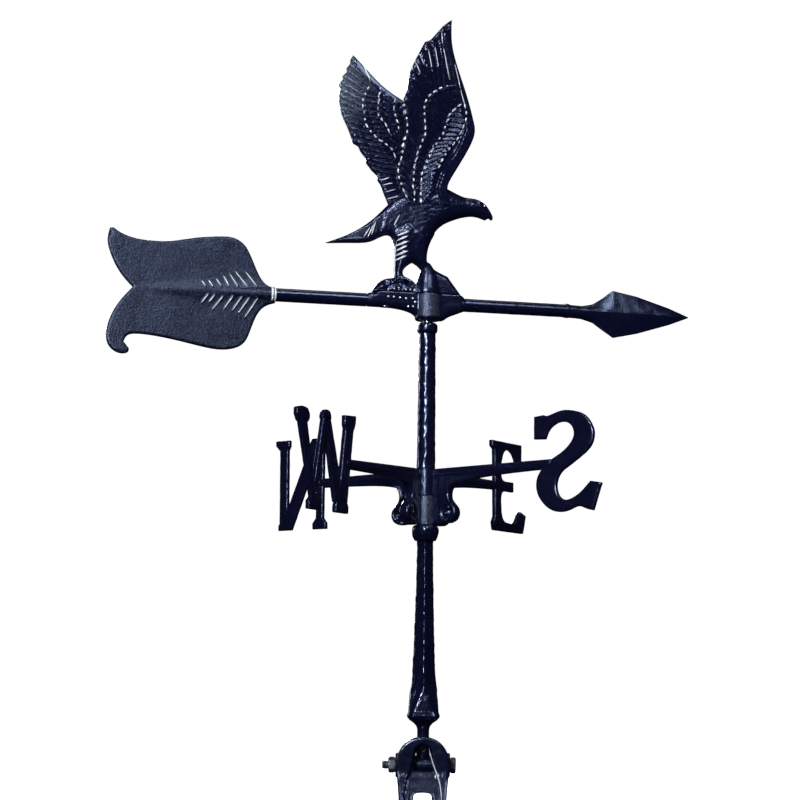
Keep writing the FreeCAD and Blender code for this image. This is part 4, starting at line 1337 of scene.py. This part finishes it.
def collar_shell():
    """Rounded collar that carries the letters."""
    height = COLLAR_TOP - COLUMN_TOP
    side = smooth([(10.0, 0), (12.0, height * 0.25), (13.0, height * 0.55),
                   (12.7, height * 0.8), (11.0, height)], 0.8)
    profile = [(SPINDLE_R, 0)] + [tuple(p) for p in side] + [(11.0, height), (SPINDLE_R, height)]
    points, faces = lathe(profile, 72)
    dents = scattered(26, lambda z: 12.6, 1, height - 1)
    points = dented(points, dents, 4.2, 0.4)
    return moved((points, faces), Matrix.Translation((0, 0, COLUMN_TOP)))


def build_post():
    for name, shell, node in (
        ("post_column", column_shell(), "lower_column"),
        ("post_spacer", spacer_shell(), "upper_spacer"),
        ("post_collar", collar_shell(), "collar_ball"),
    ):
        piece(name, "post", shell, CAST_SMOOTH, node)


# ==== roof mount ===============================================================================

LEG_OFFSET, LEG_WEB, LEG_RIB = 15.0, 4.0, 8.0
ARCH_R, ARCH_RISE = 25.4, 26.4
LEG_BEND_Z = BOLT_Z - 10
FOOT_INNER, FOOT_OUTER = 47.0, 92.0
FOOT_HALF, FOOT_THICK = 31.0, 5.0
SCREW_X, SCREW_Y, SCREW_HOLE_R = 20.0, 74.0, 2.75
PIVOT_R = 4.0
HEAD_SEAT = 25.5
NUT_ACROSS = 13.0


def leg_outline():
    arch = [(ARCH_R * math.sin(math.radians(turn)),
             BOLT_Z + ARCH_RISE * math.cos(math.radians(turn))) for turn in (0, 30, 60, 90)]
    lower = [arch[-1], (23.6, BOLT_Z - 14), (22.2, BOLT_Z - 30), (22.4, 26), (25.5, 2)]
    left_lower, left_arch = opposite(lower), opposite(arch)
    return loop(arch[0], arch[1:], lower[1:], left_lower[0], left_lower[1:], left_arch[1:])


def leg_panel():
    """Bent front panel of a leg: a raised rim round a recess with two windows."""
    recess = mirrored([(0, BOLT_Z + 20), (6.5, BOLT_Z + 14.5), (9.6, BOLT_Z), (14.6, BOLT_Z - 14),
                       (16.8, BOLT_Z - 30), (17.6, 24), (18, 8)])
    upper = mirrored([(0, BOLT_Z + 18.5), (5.4, BOLT_Z + 14), (7.6, BOLT_Z + 4),
                      (8.6, BOLT_Z - 5)])
    lower = mirrored([(0, BOLT_Z - 24.6), (6.4, BOLT_Z - 25.4), (8.3, BOLT_Z - 28), (8.6, 30),
                      (8.6, FOOT_THICK + 9)])

    def front(points, depth):
        raised = fade(-inset(points, [recess]), -0.4, 1.2)
        rim = (LEG_RIB - LEG_WEB) * raised
        soft = np.clip(1.6 - depth, 0, 1.6)
        return LEG_WEB + rim - 1.6 + np.sqrt(np.maximum(1.6 ** 2 - soft ** 2, 0.02))

    def back(points, depth):
        return np.full(len(points), 0.0)

    return bent(plate([leg_outline(), upper, lower], 1.3, front, back))


def bent(shell):
    """Bends a leg's flat panel outwards, below its bend line, so that it reaches its foot."""
    points, faces = shell
    slope = (FOOT_INNER - LEG_OFFSET) / (LEG_BEND_Z - FOOT_THICK)
    fall, easing = LEG_BEND_Z - points[:, 2], 3.0
    points[:, 1] -= LEG_OFFSET + slope * easing * np.logaddexp(0, fall / easing)
    return points, faces


def leg_trim():
    """Inner edge of the leg's rim, on one side: a near-white sliver as a painted highlight."""
    line = smooth([(5.6, BOLT_Z + 15.5), (7.6, BOLT_Z + 8), (10.2, BOLT_Z), (15.2, BOLT_Z - 14),
                   (17.2, BOLT_Z - 27), (17.6, BOLT_Z - 38)], 1.5)
    path = np.column_stack([line[:, 0], np.full(len(line), -LEG_RIB + 0.4), line[:, 1]])
    return bent(sliver(path, 0.5))


def foot_plate():
    corner = 9.0
    x, y_in, y_out = FOOT_HALF, -FOOT_INNER, -FOOT_OUTER
    turn = [math.radians(15 * i) for i in range(7)]
    near_right = [(x - corner + corner * math.sin(t), y_out + corner - corner * math.cos(t))
                  for t in turn]
    near_left = opposite(near_right)
    outline = loop((-x, y_in), near_left[0], near_left[1:], near_right[0], near_right[1:],
                   (x, y_in))
    holes = [circle((side * SCREW_X, -SCREW_Y), SCREW_HOLE_R, 0.8) for side in (-1, 1)]

    def half(points, depth):
        return edge_round(depth, FOOT_THICK / 2, 0.9)

    points, faces = plate([outline] + holes, 2.2, half)
    flat = Matrix(((1, 0, 0, 0), (0, 0, 1, 0), (0, -1, 0, FOOT_THICK / 2), (0, 0, 0, 1)))
    return moved((points, faces), flat)


def cheek(x_from, x_to):
    """Eye round the pivot bolt, with the arm that joins it to the panel. Drawn in the YZ plane."""
    eye_r, hole_r = 11.0, PIVOT_R + 0.05
    reach = LEG_OFFSET + LEG_WEB - 1
    turn = [math.radians(-90 + 15 * i) for i in range(13)]
    nose = [(eye_r * math.cos(t), BOLT_Z + eye_r * math.sin(t)) for t in turn]
    outline = loop(nose[0], nose[1:], (-reach, BOLT_Z + eye_r), (-reach, BOLT_Z - eye_r))
    half = (x_to - x_from) / 2
    points, faces = plate([outline, circle((0, BOLT_Z), hole_r, 0.8)], 1.8,
                          lambda p, depth: edge_round(depth, half, 0.8))
    turned = Matrix(((0, -1, 0, (x_from + x_to) / 2), (1, 0, 0, 0), (0, 0, 1, 0), (0, 0, 0, 1)))
    return moved((points, faces), turned)


def leg_shells():
    return joined([leg_panel(), foot_plate(), cheek(-25.4, -20.1), cheek(14.7, 19.8)])


def along_bolt(shell):
    """Turns a shape about Z onto the pivot bolt's axis."""
    return moved(shell, Matrix.Translation((0, 0, BOLT_Z)) @ ALONG_X)


def hexagon_shell(x_from, x_to, across, bore=None):
    """Hexagon bar along X with chamfered corners, as on a bolt head or a nut."""
    turn = turns(72)
    sector = (turn + math.pi / 6) % (math.pi / 3) - math.pi / 6
    flat = across / 2 / np.cos(sector)
    face = bore or 0.5
    rings = [ring_round(face, x_from, turn)]
    for share, limit in ((0, 0.49), (0.14, 0.56), (0.3, 0.6), (0.7, 0.6), (0.86, 0.56), (1, 0.49)):
        reach = np.minimum(flat, across * limit)
        rings.append(ring_round(reach, x_from + (x_to - x_from) * share, turn))
    rings.append(ring_round(face, x_to, turn))
    return along_bolt(loft(rings, closed=bore is not None, caps=bore is None))


def bolt_shell():
    """Pivot bolt: hexagon head, plain shank and a thread that stands out of the nut."""
    x_end, thread_from, pitch = low("pivot_bolt", X), -22.0, 1.25
    turn = turns(40)
    rings = []
    for x in np.arange(x_end, thread_from, pitch / 8):
        phase = (x / pitch + turn / (2 * math.pi)) % 1
        groove = 0.55 * (1 - np.abs(2 * phase - 1))
        ease = min(1, 0.82 + 0.18 * (x - x_end) / 1.5)
        rings.append(ring_round((PIVOT_R - 0.02 - groove) * ease, x, turn))
    rings += [ring_round(PIVOT_R, x, turn) for x in (thread_from + 0.5, HEAD_SEAT + 1)]
    head = hexagon_shell(HEAD_SEAT, high("pivot_bolt", X), NUT_ACROSS)
    return joined([along_bolt(loft(rings)), head])


def build_mount():
    legs, edge = leg_shells(), leg_trim()
    for name, node, heading in (("mount_leg_front", "front_leg", 0),
                                ("mount_leg_back", "back_leg", 180)):
        turn = placed(heading, 0)
        piece(name, node, moved(legs, turn), CAST_SMOOTH, node,
              [(moved(edge, turn), PAINTED_HIGHLIGHT)])
    piece("mount_bolt", "post", bolt_shell(), ZINC, "pivot_bolt")
    nut = hexagon_shell(low("pivot_nut", X), high("pivot_nut", X), NUT_ACROSS, PIVOT_R)
    piece("mount_nut", "post", nut, ZINC, "pivot_nut")


def finish_carried_over():
    """Looks of the CAD pieces that are shown as they are."""
    looks = {"spindle_rod": STEEL, "thrust_ball": STEEL, "collar_set_screw": ZINC,
             "mount_socket": CAST_SMOOTH, "socket_set_screw": ZINC, "ornament_screws": ZINC,
             "hub_bush": NYLON, "compass_set_screws": ZINC}
    for name, finish in looks.items():
        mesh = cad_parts[name].data
        mesh.materials.clear()
        mesh.materials.append(finish)


# ==== stage ====================================================================================

def build_stage():
    """Pale floor that curves up into a pale dome all round the vane, drawn in metres."""
    reach, curve, rise = 6.0, 2.0, 6.0
    bends = [math.radians(10 * i) for i in range(1, 10)]
    profile = [(0.0, 0.0), (reach, 0.0)]
    profile += [(reach + curve * math.sin(t), curve - curve * math.cos(t)) for t in bends]
    profile += [((reach + curve) * math.cos(t), curve + rise * math.sin(t)) for t in bends]
    rings = [ring_round(radius / MM, height / MM - 0.5, turns(96)) for radius, height in profile]
    floor = thing_from("stage_floor", loft(rings, caps=False))
    floor.data.polygons.foreach_set("use_smooth", [True] * len(floor.data.polygons))
    finish, tree, shader = nodes_of("pale_paper")
    fill(tree, shader, {"Base Color": (0.9, 0.9, 0.9, 1), "Roughness": 0.9,
                        "Emission Color": (1, 1, 1, 1), "Emission Strength": 0.98})
    floor.data.materials.append(finish)
    floor.visible_glossy = False
    floor.visible_diffuse = False
    floor.visible_shadow = False


def softbox(name, place, width, height, power, tint, target=(0, 0, 0.45), spread=180):
    lamp = bpy.data.lights.new(name, "AREA")
    lamp.shape = "RECTANGLE"
    lamp.size = width
    lamp.size_y = height
    lamp.energy = power
    lamp.color = tint
    lamp.spread = math.radians(spread)
    thing = bpy.data.objects.new(name, lamp)
    thing.location = place
    thing.rotation_euler = (Vector(target) - Vector(place)).to_track_quat("-Z", "Y").to_euler()
    thing.visible_camera = False
    bpy.context.scene.collection.objects.link(thing)


def build_lights():
    softbox("key_softbox", (-0.75, -2.6, 1.12), 0.26, 0.5, 66, (0.94, 0.97, 1))
    softbox("brow_softbox", (-0.55, -1.8, 2.5), 0.26, 0.5, 0.36, (0.94, 0.97, 1), (0, 0, 0.66), 16)
    softbox("right_softbox", (0.95, -1.95, 2.35), 0.8, 0.8, 26, (0.9, 0.95, 1))
    softbox("left_softbox", (-2.2, 1.6, 1.0), 0.3, 1.2, 14, (0.9, 0.94, 1))
    softbox("top_softbox", (0.2, 0.4, 2.8), 0.9, 0.9, 4, (1, 1, 1))
    softbox("back_softbox", (-0.8, 2.6, 1.3), 0.4, 0.7, 50, (0.95, 0.97, 1))
    world = bpy.data.worlds.new("studio_air")
    bpy.context.scene.world = world
    world.use_nodes = True
    tree = world.node_tree
    fill(tree, tree.nodes["Background"], {"Color": (0.8, 0.87, 1, 1), "Strength": 0.015})


FOCAL_LENGTH, SENSOR_WIDTH = 96.5, 36.0
CAMERA_PLACE = (0, -2.0303, 0.1293)
CAMERA_PITCH_ROLL_YAW = (8.15, -0.71, -0.72)


def build_camera():
    """Camera low in front of the vane, tilted up, as in the photograph."""
    lens = bpy.data.cameras.new("camera")
    lens.lens = FOCAL_LENGTH
    lens.sensor_width = SENSOR_WIDTH
    camera = bpy.data.objects.new("camera", lens)
    pitch, roll, yaw = (math.radians(angle) for angle in CAMERA_PITCH_ROLL_YAW)
    ahead = Vector((math.sin(yaw) * math.cos(pitch), math.cos(yaw) * math.cos(pitch),
                    math.sin(pitch)))
    right_level = Vector((math.cos(yaw), -math.sin(yaw), 0))
    up_level = right_level.cross(ahead)
    right = right_level * math.cos(roll) - up_level * math.sin(roll)
    up = right_level * math.sin(roll) + up_level * math.cos(roll)
    turn = Matrix((right, up, -ahead)).transposed()
    camera.matrix_world = Matrix.Translation(CAMERA_PLACE) @ turn.to_4x4()
    bpy.context.scene.collection.objects.link(camera)
    bpy.context.scene.camera = camera


# ==== the whole scene ==========================================================================

build_arrow()
build_letters()
build_post()
build_mount()
finish_carried_over()
build_stage()
build_lights()
build_camera()
bpy.context.scene.view_settings.view_transform = "Standard"
